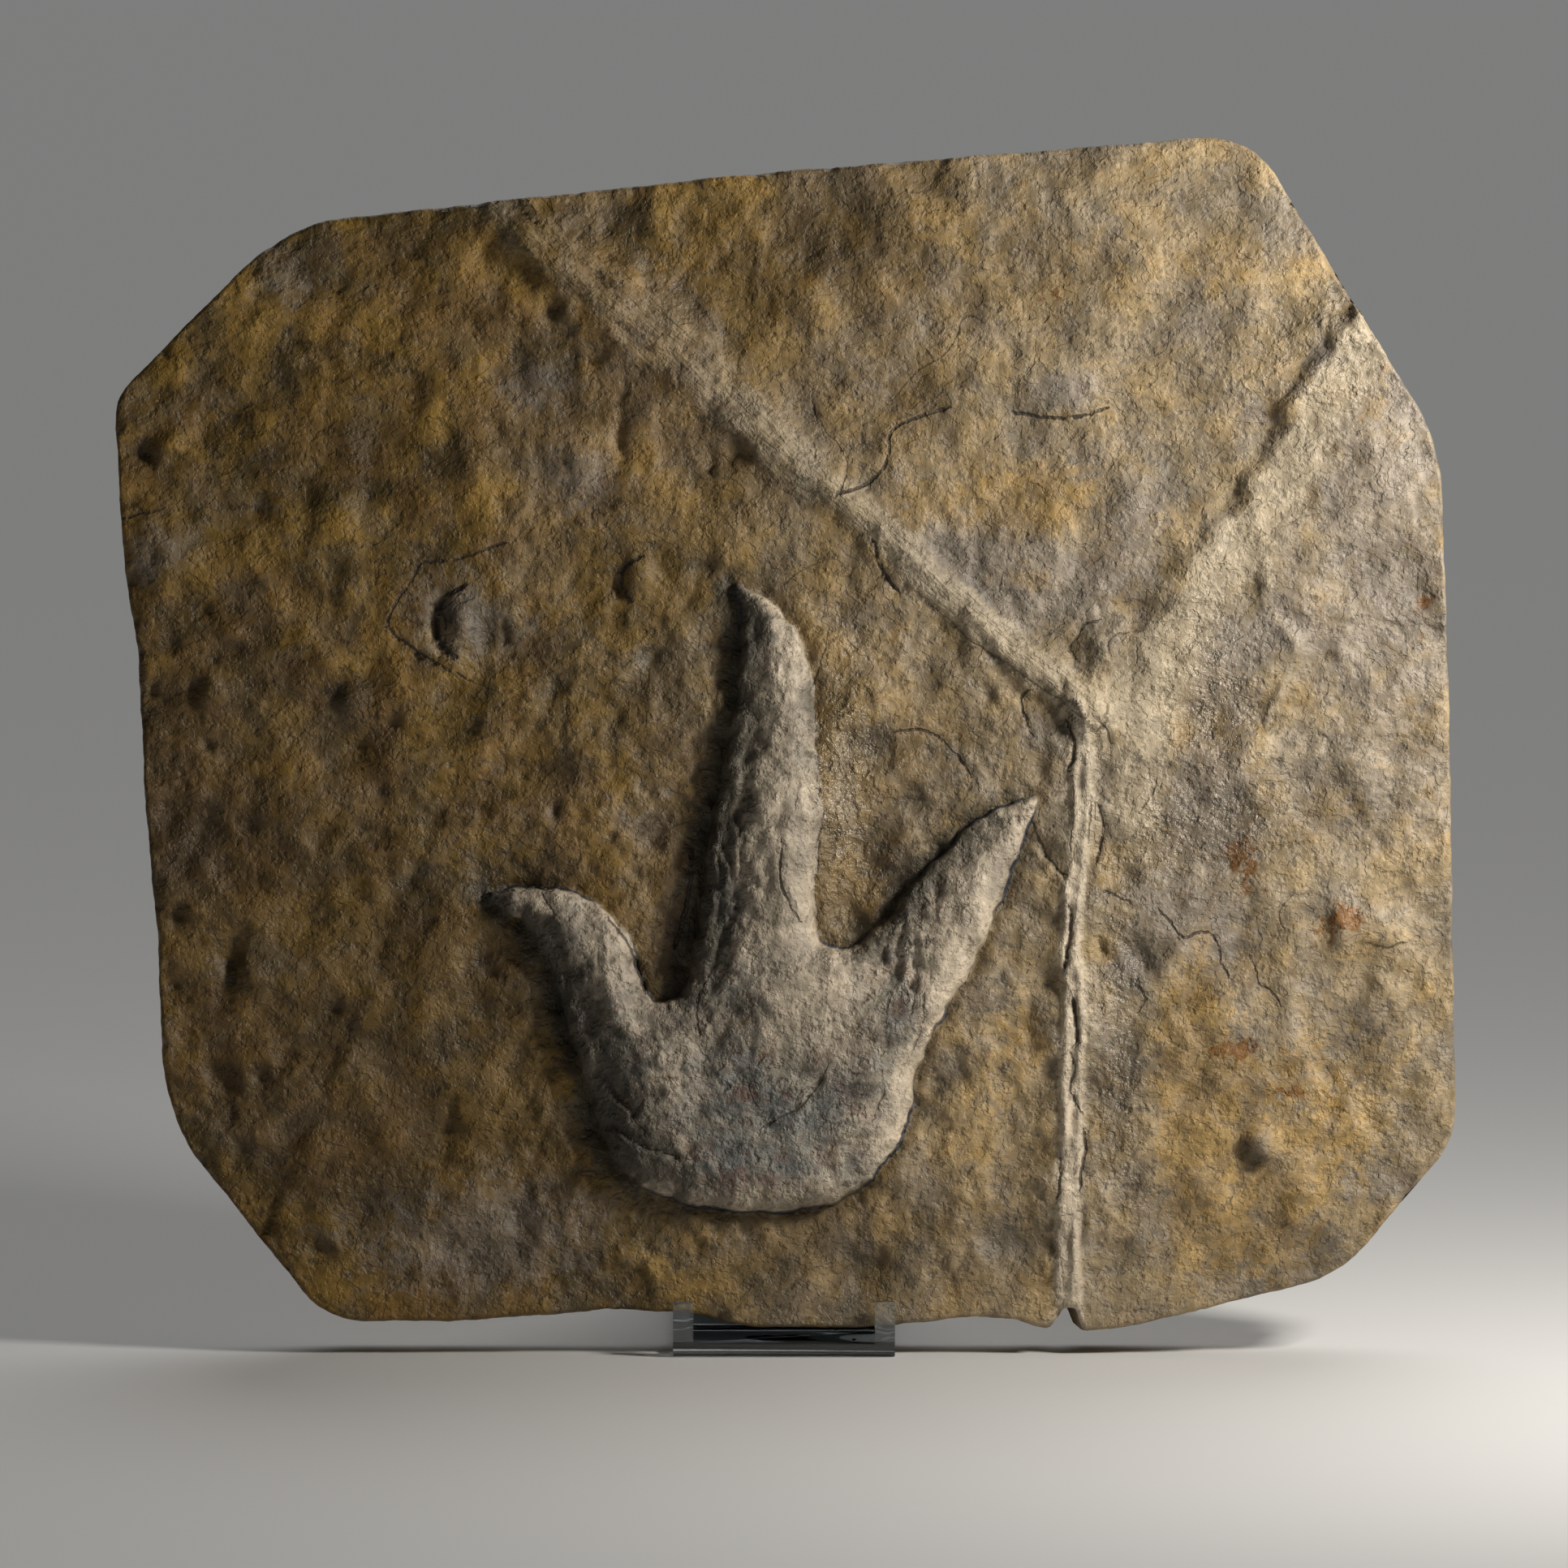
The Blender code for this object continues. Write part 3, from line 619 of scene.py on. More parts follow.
# %% Cracks and flakes
CRACKS = [  # half width in mm, then the points
    (0.6, [(-77, 177.5), (-81.2, 175), (-83.3, 170.2), (-82.4, 164.2), (-79.2, 160.8)]),
    (0.4, [(-34.5, 184.5), (-38, 182.5), (-38.8, 178.5), (-37, 174.8)]),
    (0.2, [(-76, 174), (-78.5, 173), (-79.6, 169.5), (-78.5, 165.5)]),
    (0.28, [(-95.3, 168.5), (-93, 174), (-89.5, 178.5), (-87.5, 183)]),
    (0.3, [(-95.3, 167.5), (-90, 163.5), (-83.3, 159.1), (-77, 156)]),
    (0.2, [(7, 222.5), (8, 217.5), (12.5, 212), (15, 208), (14.5, 203), (12.5, 200)]),
    (0.36, [(12.5, 199.5), (18.5, 201.5), (23, 205), (25, 209), (25.5, 214.5), (30, 217.5),
            (39, 220.5)]),
    (0.2, [(26, 222.5), (32, 229.5), (38, 233), (41.5, 238), (42.5, 242), (45.5, 242.5), (47.5, 241)]),
    (0.14, [(54.5, 225.5), (59.5, 230.5), (60.5, 238)]),
    (0.34, [(55.5, 219.5), (61, 218.5), (67, 218), (73, 219), (77, 220.5)]),
    (0.38, [(21.5, 188.5), (23, 182.5), (27, 176.5)]),
    (0.2, [(34, 174.5), (40, 169), (45.5, 164), (53.5, 159), (60, 154.2), (66.1, 150.5),
           (71.6, 145.7)]),
    (0.25, [(74.9, 169.3), (71.6, 168.3), (70.4, 165.6), (68.4, 163), (69.8, 160.3)]),
    (0.2, [(85.2, 166.7), (79.8, 166.1), (77.6, 164), (78, 161.3)]),
    (0.18, [(84.4, 162.8), (84.4, 159.5)]),
    (0.22, [(74.1, 146.3), (76.8, 143.9), (78, 140.2)]),
    (0.3, [(58.1, 152.5), (56.7, 150.5), (57.9, 145.7), (59.1, 142.2)]),
    (0.34, [(67.9, 145.1), (69.4, 140.8), (69.1, 135.9), (68.2, 134.2)]),
    (0.2, [(69, 131.6), (69.2, 127.5), (69, 121.9), (68.5, 114)]),
    (0.22, [(73.3, 125.6), (73.2, 121.9), (72.8, 117)]),
    (0.28, [(75.3, 125), (76.4, 120.7), (75.9, 115.8), (74.8, 111.5)]),
    (0.42, [(68.4, 100.4), (68.6, 94.2), (67.9, 91.3), (67.3, 86.2)]),
    (0.42, [(69.2, 78.2), (69.8, 72.5), (70.4, 68.5)]),
    (0.25, [(68.5, 65.7), (69.6, 61.2), (68.4, 57.1), (71.1, 51.5)]),
    (0.3, [(71.8, 46.6), (72.1, 42.6), (71.1, 38), (70.9, 33.5)]),
    (0.28, [(66.2, 41), (66, 35.8), (65.3, 31.2)]),
    (0.15, [(66, 17.5), (66.6, 9.6)]),
    (0.22, [(89.3, 131), (87.9, 127.5), (85.6, 124.4)]),
    (0.24, [(77, 104.5), (83, 101.6)]),
    (0.28, [(90, 99.8), (93, 96), (96, 93.2), (99, 94.6), (102, 94.2), (104, 91), (104.5, 88),
            (106, 84.5)]),
    (0.24, [(112.4, 87), (113.6, 82.5), (116.5, 80.5), (118.4, 77.5)]),
    (0.18, [(-9, 59.3), (-8.2, 56), (-6.4, 52.8)]),
    (0.24, [(9.2, 59.3), (4.1, 52.8), (-0.5, 50.4), (-5.1, 47.6)]),
    (0.12, [(-14, 61.2), (-4, 61.8), (6.6, 61)]),
    (0.26, [(-57.7, 103.5), (-55.2, 99)]),
    (0.2, [(-48, 89.3), (-46, 85.4)]),
    (0.3, [(-41.5, 97.5), (-37.8, 92.5), (-35.2, 87), (-33.4, 80.7)]),
    (0.22, [(33.5, 79), (33, 72.5), (31, 67)]),
    (0.24, [(-18, 84), (-21, 77), (-20, 70)]),
    (0.2, [(-33, 55), (-36, 50), (-33, 46.5)]),
    (0.26, [(84.5, 82), (86.5, 79), (85, 76)]),
    (0.2, [(121, 103), (118.5, 99.5), (119.5, 95.5)]),
    (0.22, [(140, 92), (144.5, 91), (148, 92)]),
    (0.28, [(59.5, 121), (61, 117), (64, 111.5), (67, 108.5)]),
    (0.28, [(26.5, 142.6), (32.6, 143.4), (38, 140.5), (41.5, 137), (44.5, 132.8)]),
    (0.28, [(-0.5, 116), (-1, 107.5), (1, 101.5), (3.5, 97.5)]),
    (0.18, [(3.5, 130), (2.5, 124)]),
    (0.2, [(9.5, 123), (7.5, 115)]),
    (0.25, [(24, 56.5), (21.5, 50)]),
    (0.18, [(10.5, 62.5), (8, 58.5), (3.5, 56), (2.5, 51)]),
    (0.42, [(-22.2, 114.5), (-22.4, 107), (-23.6, 100), (-25.9, 91.8)]),
    (0.28, [(-87, 183.5), (-78, 184.2), (-71.5, 186.5), (-67.5, 188)]),
    (0.18, [(-75.5, 155), (-69.5, 152.5)]),
    (0.25, [(-159, 194), (-149.5, 196)]),
    (0.16, [(119.5, 191.5), (123.5, 194), (127.5, 195)]),
    (0.14, [(144, 159), (144.5, 154)]),
    (0.2, [(32, 83), (31, 77)]),
    (0.18, [(-1, 177.5), (3.5, 181), (8, 183.5)]),
    (0.2, [(6.5, 152.5), (9.5, 162), (10.5, 167)]),
    (0.14, [(-127, 82), (-121, 80.5), (-118, 77)]),
]
FLAKES = [  # height, then the outline
    (0.5, [(-95, 172), (-93, 181), (-87, 183.5), (-71.5, 185.5), (-66, 187.5), (-67, 176),
           (-68, 165), (-69.5, 152.5), (-75.5, 155), (-82, 158), (-91, 164)]),
    (0.5, [(55.5, 219.5), (61, 218.5), (67, 218), (73, 219), (77, 220.5), (74, 228), (66, 232),
           (59.5, 230.5)]),
    (0.45, [(26, 143), (33, 143), (39, 139.5), (44.5, 133), (40, 129.5), (30, 130), (26, 135)]),
]
CRACK_REACH = 3.0  # mm from a crack's line in which it is worked out
FAR = 20.0  # mm, for all points further off

crack = np.full(len(net), FAR)  # signed distance to the nearest crack, in mm
crack_half = np.zeros(len(net))  # and its half width
crack_depth = np.zeros(len(net))
for half, line in CRACKS:
    line = curved(line, steps=3)
    low, high = line.min(axis=0) - CRACK_REACH, line.max(axis=0) + CRACK_REACH
    near = ((net > low) & (net < high)).all(axis=1)
    distance, side, _, _ = nearest_on(net[near] + 0.35 * noise(net[near], 2.6, 41)[:, None], line)
    closer = distance < np.abs(crack[near])
    crack[near] = np.where(closer, distance * side, crack[near])
    crack_half[near] = np.where(closer, half, crack_half[near])
    groove = 1.8 * half * hump(distance, max(half, 0.45))
    lip = 0.9 * half * hump(distance * side - 1.1, 0.8)
    crack_depth[near] += np.where(closer, groove - lip, 0)


def flake_height(points):
    """Thin flat layers: each rises over 0.8 mm at its edge and stays level inside it."""
    total = np.zeros(len(points))
    for height, corners in FLAKES:
        moved = points + 0.4 * noise(points, 3.0, 42)[:, None]
        distance, side, _, _ = nearest_on(moved, corners, closed=True)
        area = sum(a[0] * b[1] - b[0] * a[1] for a, b in zip(corners, corners[1:] + corners[:1]))
        total += height * smooth_step(distance * side * np.sign(area) / 0.8 + 0.5)
    return total


flakes = flake_height(net)
crack_away = np.minimum(np.abs(crack), CRACK_REACH)
print("cracked points:", int((crack_away < 1).sum()), " flake points:", int((flakes > 0.1).sum()))

# %% [markdown]
# The whole face
#
# Everything is added up. The print and the flakes are smoother than the ground. Near the resting
# edge the relief dies away, so that the slab sits flat behind the prongs. The rim is a crisp
# arris with small chips, so its worn round is narrow in most places and wider here and there.

# %% The face's height
ARRIS = 0.9  # the worn round's radius where the rim is whole
CHIP = 2.4  # and how much wider it is at a chip
PLAIN_FOOT = 14.0  # mm up the face over which the relief dies away
PALE_GROUND = [(85, 128, 8, 22, 0.8), (84, 155, 10, 12, 0.8)]  # mud as pale as the ridges

ridge_mark = (0.9 - 0.3 * upper) * on_long + cord + 0.8 * hump(upright, 5) + 0.7 * hump(vein, 1.1)
ridge_mark += bumps(net, PALE_GROUND)
pale_band = smooth_step((beyond + 2.0 * noise(net, 6.0, 48)) / 4) * hump(beyond, 16, 4)
ridge_mark += 0.95 * pale_band * smooth_step(ledge_run / 12)
ridge_mark = np.clip(ridge_mark, 0, 1)
bare = (1 - 0.85 * on_print) * (1 - 0.45 * ridge_mark)
bare *= 1 - 0.5 * np.clip(cord + flakes, 0, 1)
calm = ramp(net_v, 190, 240) * ramp(net_u, -30, 10)
calm = 1 - 0.35 * calm  # the top right is smoother
ground = swells * (1 - 0.6 * on_print) + pitted * calm * bare * (1 - 0.35 * on_long) + grain
ground += scaled_off * calm * (1 - on_print) * (0.35 + 0.5 * ramp(net_u, -40, 60))
relief = ridges + raised + moat + knobs * (1 - on_print) + ground + flakes - crack_depth
chipped = smooth_step((noise(net, 8.0, 55) + 0.6 * noise(net, 3.2, 56) - 0.25) / 0.6)
arris = ARRIS + CHIP * chipped
worn = arris * (1 - np.sqrt(1 - np.clip(1 - rim_distance / arris, 0, 1) ** 2))
face = THICKNESS + relief * smooth_step(net_v / PLAIN_FOOT) - worn
print("face from", face.min().round(1), "to", face.max().round(1), "mm above the back")

# %% [markdown]
# Wall and back
#
# The wall is the face's border carried back in rows, and roughness is only ever carved into it,
# so the wall stays inside the outline. Split mudstone shows its layers there. The back is plain
# and has wide cells: two bands of triangles step down from the wall's fine rows to them.

# %% Wall and back
BACK_RIM = 1.2  # mm, the width of the back's worn edge
WALL_ROWS = 8
STEP_IN = 2.4  # mm between the two bands on the back


def border_of(across, up):
    """The indices of a grid's border points, anticlockwise as seen from the front."""
    grid = np.arange((across + 1) * (up + 1)).reshape(up + 1, across + 1)
    return np.concatenate([grid[0, :-1], grid[:-1, -1], grid[-1, :0:-1], grid[:0:-1, 0]])


def shrunk(points, inward):
    """Points moved towards the slab's middle, by inward mm on a slab as wide as FACE_WIDTH."""
    middle = outline.mean(axis=0)
    return middle + (points - middle) * (1 - np.asarray(inward) / (FACE_WIDTH / 2))[..., None]


border = border_of(ACROSS, UP)
rim_line = net[border]
rim_run = np.append(0, np.cumsum(np.hypot(*np.diff(rim_line, axis=0).T)))
wall_points = []
for share in np.linspace(0, 1, WALL_ROWS + 1)[1:]:
    depth = face[border] * (1 - share) + BACK_RIM * share
    on_wall = np.column_stack([rim_run, depth])
    bedding = 0.5 + 0.5 * noise(np.column_stack([rim_run * 0.04, depth]), 2.2, 51)
    chips = np.clip(0.2 + noise(on_wall, (9.0, 5.0), 52) + 0.5 * noise(on_wall, 3.0, 53), 0, 1)
    carved = np.sin(math.pi * min(share, 0.5)) * (0.7 * bedding + 0.9 * chips)
    wall_points.append(np.column_stack([shrunk(rim_line, carved), depth]))
last_row = wall_points[-1]
half_row = last_row[::2]
wall_points.append(np.column_stack([shrunk(half_row[:, :2], BACK_RIM), np.zeros(len(half_row))]))
wall_points = np.concatenate(wall_points)

back_net = coons(sides, shares_across[::4], shares_up[::4]).reshape(-1, 2)
back_rim = nearest_on(back_net, outline, closed=True)[0]
hollows = np.clip(0.6 + 0.8 * noise(back_net, 34.0, 61) + 0.5 * noise(back_net, 14.0, 62), 0, 2)
hollows = terraced(hollows, 0.5, sharp=1.6) * smooth_step(back_rim / 4)
back_points = np.column_stack([shrunk(back_net, BACK_RIM + STEP_IN), hollows])
print("wall:", len(wall_points), "points, back:", len(back_points), "points")

# %% [markdown]
# One closed mesh
#
# The grids are joined by their indices. Each set of faces is written in the order that turns it
# outwards, and points are shared where they meet, so there is no seam to close afterwards.

# %% The slab's mesh


def grid_faces(across, up, first=0):
    """Quads of a grid, anticlockwise as seen from the front."""
    grid = first + np.arange((across + 1) * (up + 1)).reshape(up + 1, across + 1)
    quads = [grid[:-1, :-1], grid[:-1, 1:], grid[1:, 1:], grid[1:, :-1]]
    return np.stack(quads, axis=-1).reshape(-1, 4)


def loop_faces(front, back):
    """Quads between two closed rows, facing away from the middle."""
    return np.column_stack([front, back, np.roll(back, -1), np.roll(front, -1)])


def band_faces(outer, inner):
    """Triangles between a closed row and one with half its points, facing the back."""
    a, b, c = outer[::2], outer[1::2], np.roll(outer[::2], -1)
    after = np.roll(inner, -1)
    threes = (a, inner, b), (b, inner, after), (b, after, c)
    return np.concatenate([np.column_stack(three) for three in threes])


def placed(name, data):
    """An object of the scene with the given mesh, light or camera."""
    made = bpy.data.objects.new(name, data)
    bpy.context.scene.collection.objects.link(made)
    return made


def mesh_object(name, points, face_sets):
    """An object from points in metres and arrays of quads or triangles, shaded smooth."""
    mesh = bpy.data.meshes.new(name)
    mesh.from_pydata(points.tolist(), [], [face for faces in face_sets for face in faces.tolist()])
    mesh.shade_smooth()
    return placed(name, mesh)


uvw = np.vstack([np.column_stack([net, face]), wall_points, back_points])
rows = [border] + [len(net) + len(border) * k + np.arange(len(border)) for k in range(WALL_ROWS)]
half_first = len(net) + len(border) * WALL_ROWS
half_loop = half_first + np.arange(len(border) // 2)
back_first = len(net) + len(wall_points)
face_sets = [grid_faces(ACROSS, UP)]
face_sets += [loop_faces(near, far) for near, far in zip(rows, rows[1:])]
face_sets.append(band_faces(rows[-1], half_loop))
face_sets.append(band_faces(half_loop, back_first + border_of(ACROSS // 4, UP // 4)))
face_sets.append(grid_faces(ACROSS // 4, UP // 4, back_first)[:, ::-1])
slab = mesh_object("footprint_slab", in_room(*uvw.T), face_sets)
triangles = sum(len(faces) * (faces.shape[1] - 2) for faces in face_sets)
print("slab:", len(uvw), "points,", triangles, "triangles")

# %% [markdown]
# Marks for the material
#
# The stone's colours follow its history: the print and ridges are other mud than the ground,
# iron has rusted in spots, and some faces are smooth and grey. Each of these is kept on the
# mesh's points as an attribute, for the material to read: distances in mm, and most others from
# 0 to 1. The patches are listed places, each with one or two radii and a strength.

# %% Attributes
GREY = [  # warm grey clouds
    (-59.5, 226.5, 14, 8, 0.8), (-49, 203, 14, 11, 0.7), (50.5, 181.5, 16, 13, 0.9),
    (112, 168, 13, 8, 0.6), (94.5, 94, 11, 0.6), (113, 219.5, 4, 0.9), (104, 150, 10, 20, 0.9),
    (129.5, 232, 5, 0.8), (-151, 185.5, 9, 8, 0.8), (-120, 251.5, 9, 0.7), (-80, 170, 13, 15, 0.9),
    (66, 225, 10, 6, 1.0), (35, 136, 9, 6, 0.4), (100, 125, 12, 10, 0.5), (20, 228, 16, 10, 0.5),
    (-128, 196, 14, 9, 0.4), (-60, 166, 8, 10, 0.5), (130, 125, 14, 0.4), (81, 60, 7, 42, 0.55),
    (108, 92, 9, 8, 0.7), (14, 128, 6, 22, 0.7), (151, 180, 15, 70, 0.6), (113.6, 43.5, 5, 0.7),
    (92, 105, 12, 8, 0.5), (147, 235, 8, 20, 0.5), (95, 245, 14, 16, 0.5), (132, 205, 12, 22, 0.5),
    (125, 262, 20, 10, 0.5), (128, 160, 12, 16, 0.4), (-75, 18, 40, 13, 0.7),
    (-36, 122, 12, 14, 0.6), (102, 120, 16, 14, 0.6), (138, 175, 12, 45, 0.35),
    (-66, 120, 14, 10, 0.4), (84, 194, 9, 15, 0.9), (64, 178, 20, 8, 1.0), (36, 186, 9, 0.6),
    (120, 178, 5, 16, 0.6), (-70, 30, 30, 14, 0.4), (60, 142, 6, 0.7), (-30, 252, 14, 10, 0.5),
    (30, 205, 12, 8, 0.5),
]
OCHRE = [  # yellower ground
    (60, 199, 16, 9, 1.5), (45, 194, 9, 7, 0.8), (116, 41, 24, 30, 0.8), (-100, 235, 20, 14, 0.5),
    (-90, 120, 16, 20, 0.5), (-55, 145, 18, 16, 0.5), (-70, 60, 22, 18, 0.4), (45, 45, 10, 18, 0.5),
    (82, 250, 20, 14, 0.4), (-120, 66, 14, 16, 0.4), (-33, 110, 6, 16, 0.6), (22, 106, 7, 12, 0.8),
    (98, 62, 9, 30, 1.2), (56, 72, 8, 20, 0.6), (137, 60, 12, 24, 0.4), (36, 136, 7, 5, 0.5),
    (104, 20, 14, 8, 0.7), (-45, 160, 10, 8, 0.5), (150, 195, 10, 14, 0.4), (20, 262, 16, 8, 0.4),
]
UMBER_AND_SHADOW = [  # darker, browner ground, and painted cast shadow beside the toes' left sides
    (-30, 128, 9, 36, 0.9), (22, 112, 13, 22, 0.9), (-62, 70, 12, 26, 0.6), (-30, 195, 30, 14, 0.5),
    (-26, 96, 9, 18, 0.9), (-72, 90, 12, 16, 0.7), (-55, 36, 16, 12, 0.5), (120, 60, 24, 20, 0.4),
    (-120, 100, 30, 40, 0.4), (-110, 50, 30, 20, 0.4), (40, 150, 20, 16, 0.5),
    (-10, 250, 26, 14, 0.5), (-100, 245, 26, 12, 0.4), (30, 240, 30, 20, 0.3),
    (-60, 225, 14, 22, 0.5), (-146, 125, 24, 55, 0.9), (-105, 45, 40, 26, 0.8),
    (10, 262, 30, 14, 0.6), (70, 262, 24, 12, 0.5), (-62, 40, 16, 20, 0.6), (-100, 121, 17, 15, 1.0),
    (-90, 88, 24, 14, 0.8), (-117, 155, 24, 14, 0.6), (31, 221, 13, 0.8),
]
PALE = [  # paler to the right, as own tone and as painted light falling off to the left; more or less so here and there
    (25, 262, 50, 24, -0.32), (110, 35, 34, 22, -0.22), (130, 150, 26, 50, 0.1),
    (-20, 215, 30, 20, -0.1), (-60, 210, 16, 24, 0.2), (40, 20, 30, 20, -0.15),
    (82, 70, 9, 40, 0.12), (-36, 156, 15, 14, 0.2),
]
SHADED_FLANK = [  # painted shade on the shaded left sides of the heel and the left toe, with rough dark mud
    (-62, 96, 8, 5, 0.7), (-52, 84, 6, 9, 0.8), (-47, 68, 8, 10, 1.0), (-41, 53, 9, 12, 1.0),
    (-33, 41, 10, 8, 0.9), (-20, 34, 10, 5, 0.5), (-30, 70, 6, 8, 0.45), (-14, 86, 5, 8, 0.5),
    (22, 92, 6, 0.45), (-7, 167, 5, 9, 1.0), (30, 102, 4, 12, 0.5), (10, 48, 5, 7, 0.3),
]
RUST = [  # spots of iron
    (110, 66.5, 4, 2.4, 1.2), (121.5, 56.5, 4, 1.6, 1.0), (103.5, 66, 2, 1.0), (109, 113, 4, 0.5),
    (133.5, 98, 4.5, 3.2, 1.2), (128, 92, 4, 3, 0.4), (154, 174, 2, 1.8, 0.8),
    (-99.5, 114.5, 2.5, 1.5, 0.4), (110, 113, 4, 0.45), (153, 168, 4, 9, 0.3), (38, 44, 3, 5, 0.35),
    (-8, 72, 5, 4, 0.35), (-84, 118, 2, 1.5, 0.4), (-116, 118, 1.5, 0.4), (-57, 157, 0.8, 0.6),
    (112, 105, 6, 5, 0.35), (64, 248, 6, 4, 0.35),
]
DARK = [  # dark pits, and painted shade on the shaded sides of knobs
    (-131.5, 87.5, 3, 6.5, 1.0), (-83, 27, 3, 0.6), (-115, 29.5, 4, 0.5),
    (110.3, 41.5, 2.2, 3.2, 0.8), (113.4, 39.6, 3.2, 1.6, 0.7), (114.2, 44.2, 4.6, 0.45),
    (-140.5, 154, 3, 0.8), (-107.5, 151, 3, 4, 0.8), (-131, 163, 2.5, 3, 0.8),
    (-134, 219, 2.5, 3, 0.5), (-126, 134, 2, 3, 0.4), (-98, 140, 2, 3, 0.4),
    (-153.5, 212, 2.5, 3, 0.8), (-131, 218.5, 3, 0.7), (37.5, 57.5, 3.4, 1.0),
    (-81.5, 169, 2, 4, 0.6), (119.3, 137.5, 1.2, 2.5, 0.9), (118.3, 132, 2, 1.4, 0.5),
    (-55.8, 244, 3, 4, 0.5), (-45.6, 232.4, 4, 0.5), (-39, 221, 3, 6, 0.5), (-68, 255, 3, 4, 0.5),
]
BLUE = [  # blue-grey tint on the print, which on the toes' left flanks is painted shade too
    (-3, 54, 20, 12, 1.0), (-12, 38, 22, 6, 0.8), (27, 76, 4, 16, 0.7), (-39, 58, 7, 16, 0.9),
    (-10, 80, 16, 7, 0.4), (-16, 112, 5, 30, 0.7), (-7, 165, 4, 10, 0.7), (-52, 92, 5, 10, 0.5),
]
PALE_CRESTS = [  # cleaner mud along the toes' crests, painted paler too as highlight
    (0, 140, 6, 26, 0.9), (1, 102, 7, 26, 1.0), (9, 79, 8, 9, 0.8), (49, 107, 4, 13, 0.9),
    (39, 84, 5, 16, 0.9), (29, 58, 4, 12, 0.8), (25, 43, 5, 7, 0.7), (-58, 100, 7, 5, 0.7),
    (-46, 88, 5, 9, 0.8), (-36, 73, 5, 7, 0.5),
]
GLOSSY = [  # smooth places that shine a little, and are painted paler as sheen
    (14, 133, 7, 26, 1.3), (130, 235, 22, 0.3), (103, 150, 9, 20, 0.9), (92, 118, 10, 0.7),
    (28, 96, 5, 14, 0.4), (80, 70, 6, 36, 0.7), (112, 122, 12, 10, 0.5), (140, 50, 12, 0.4),
]
INKED_AND_SHADOWED_EDGES = [  # where the print's edge has a dark line: ink, and painted shadow below the edge
    (-12, 28, 34, 9, 1.0), (27, 45, 9, 16, 1.0), (55, 118, 10, 13, 1.0), (42, 108, 14, 12, 0.9),
    (-30, 85, 10, 12, 0.9), (-58, 106, 16, 8, 0.9), (38, 72, 8, 12, 0.6), (-12, 172, 6, 8, 0.8),
    (14, 92, 10, 5, 0.9), (-52, 80, 8, 20, 0.6),
]


def on_all_points(front_values, elsewhere=0.0):
    """Values for the face's points, with one value for the wall and back."""
    return np.concatenate([front_values, np.full(len(uvw) - len(net), elsewhere)])


SHADE_AND_CRUST_INSIDE, SHADE_AND_CRUST_OUTSIDE = 8.5, 4.5  # mm, how far dark crust and painted shade reach from the print's left edges
PATCHES = {"umber": UMBER_AND_SHADOW, "grey": GREY, "ochre": OCHRE, "rust": RUST, "dark": DARK, "blue": BLUE,
           "glossy": GLOSSY, "inked_and_shadowed": INKED_AND_SHADOWED_EDGES}
marks = {name: patch(places) for name, places in PATCHES.items()}
shade_and_crust_width = np.where(into_print > 0, SHADE_AND_CRUST_INSIDE, SHADE_AND_CRUST_OUTSIDE)
marks.update({
    "into_print": np.clip(into_print, -FAR, FAR),
    # Dark crust, and painted shade beside the print's edges that face away from the light.
    "crust_and_shade": np.maximum(left_edge * hump(into_print, shade_and_crust_width),
                        np.minimum(patch(SHADED_FLANK), 0.8) * on_print),
    "fibrous": fibrous,
    # Paler to the right: own tone, and painted light that falls off to the left.
    "pale": (net_u + 20) / 160 + bumps(net, PALE),
    "crack": crack,
    "crack_away": crack_away,
    "crack_half": crack_half,
    "ridge": ridge_mark,
    "crest": np.clip(bumps(net, PALE_CRESTS) + 0.8 * cord, 0, 1),
    # high: the relief's height, which the material uses for painted shade in hollows.
    "high": 0.5 + 0.5 * np.clip((0.4 * swells + pitted + grain) / 1.6, -1, 1),
})
ELSEWHERE = {"into_print": -FAR, "crack": FAR, "crack_away": CRACK_REACH, "high": 0.5}
marks = {name: on_all_points(values, ELSEWHERE.get(name, 0.0)) for name, values in marks.items()}
fibre_mm = np.column_stack([on_all_points(fibre_run), on_all_points(fibre_off), np.zeros(len(uvw))])
vectors = {"place_mm": uvw, "fibre_mm": fibre_mm}
for values_of, kind, key in (marks, "FLOAT", "value"), (vectors, "FLOAT_VECTOR", "vector"):
    for name, values in values_of.items():
        attribute = slab.data.attributes.new(name, kind, "POINT")
        attribute.data.foreach_set(key, values.astype(np.float32).ravel())
print("attributes:", [a.name for a in slab.data.attributes if not a.name.startswith(".")])

# %% [markdown]
# Building a material with short words
#
# A stone's material has many layers. A few helpers keep it readable: each makes one or two nodes
# and returns their output. Patterns are measured in millimetres on the slab's own plane, from the
# place_mm attribute, so they stay put on the stone wherever it stands.

# %% Helpers for the materials


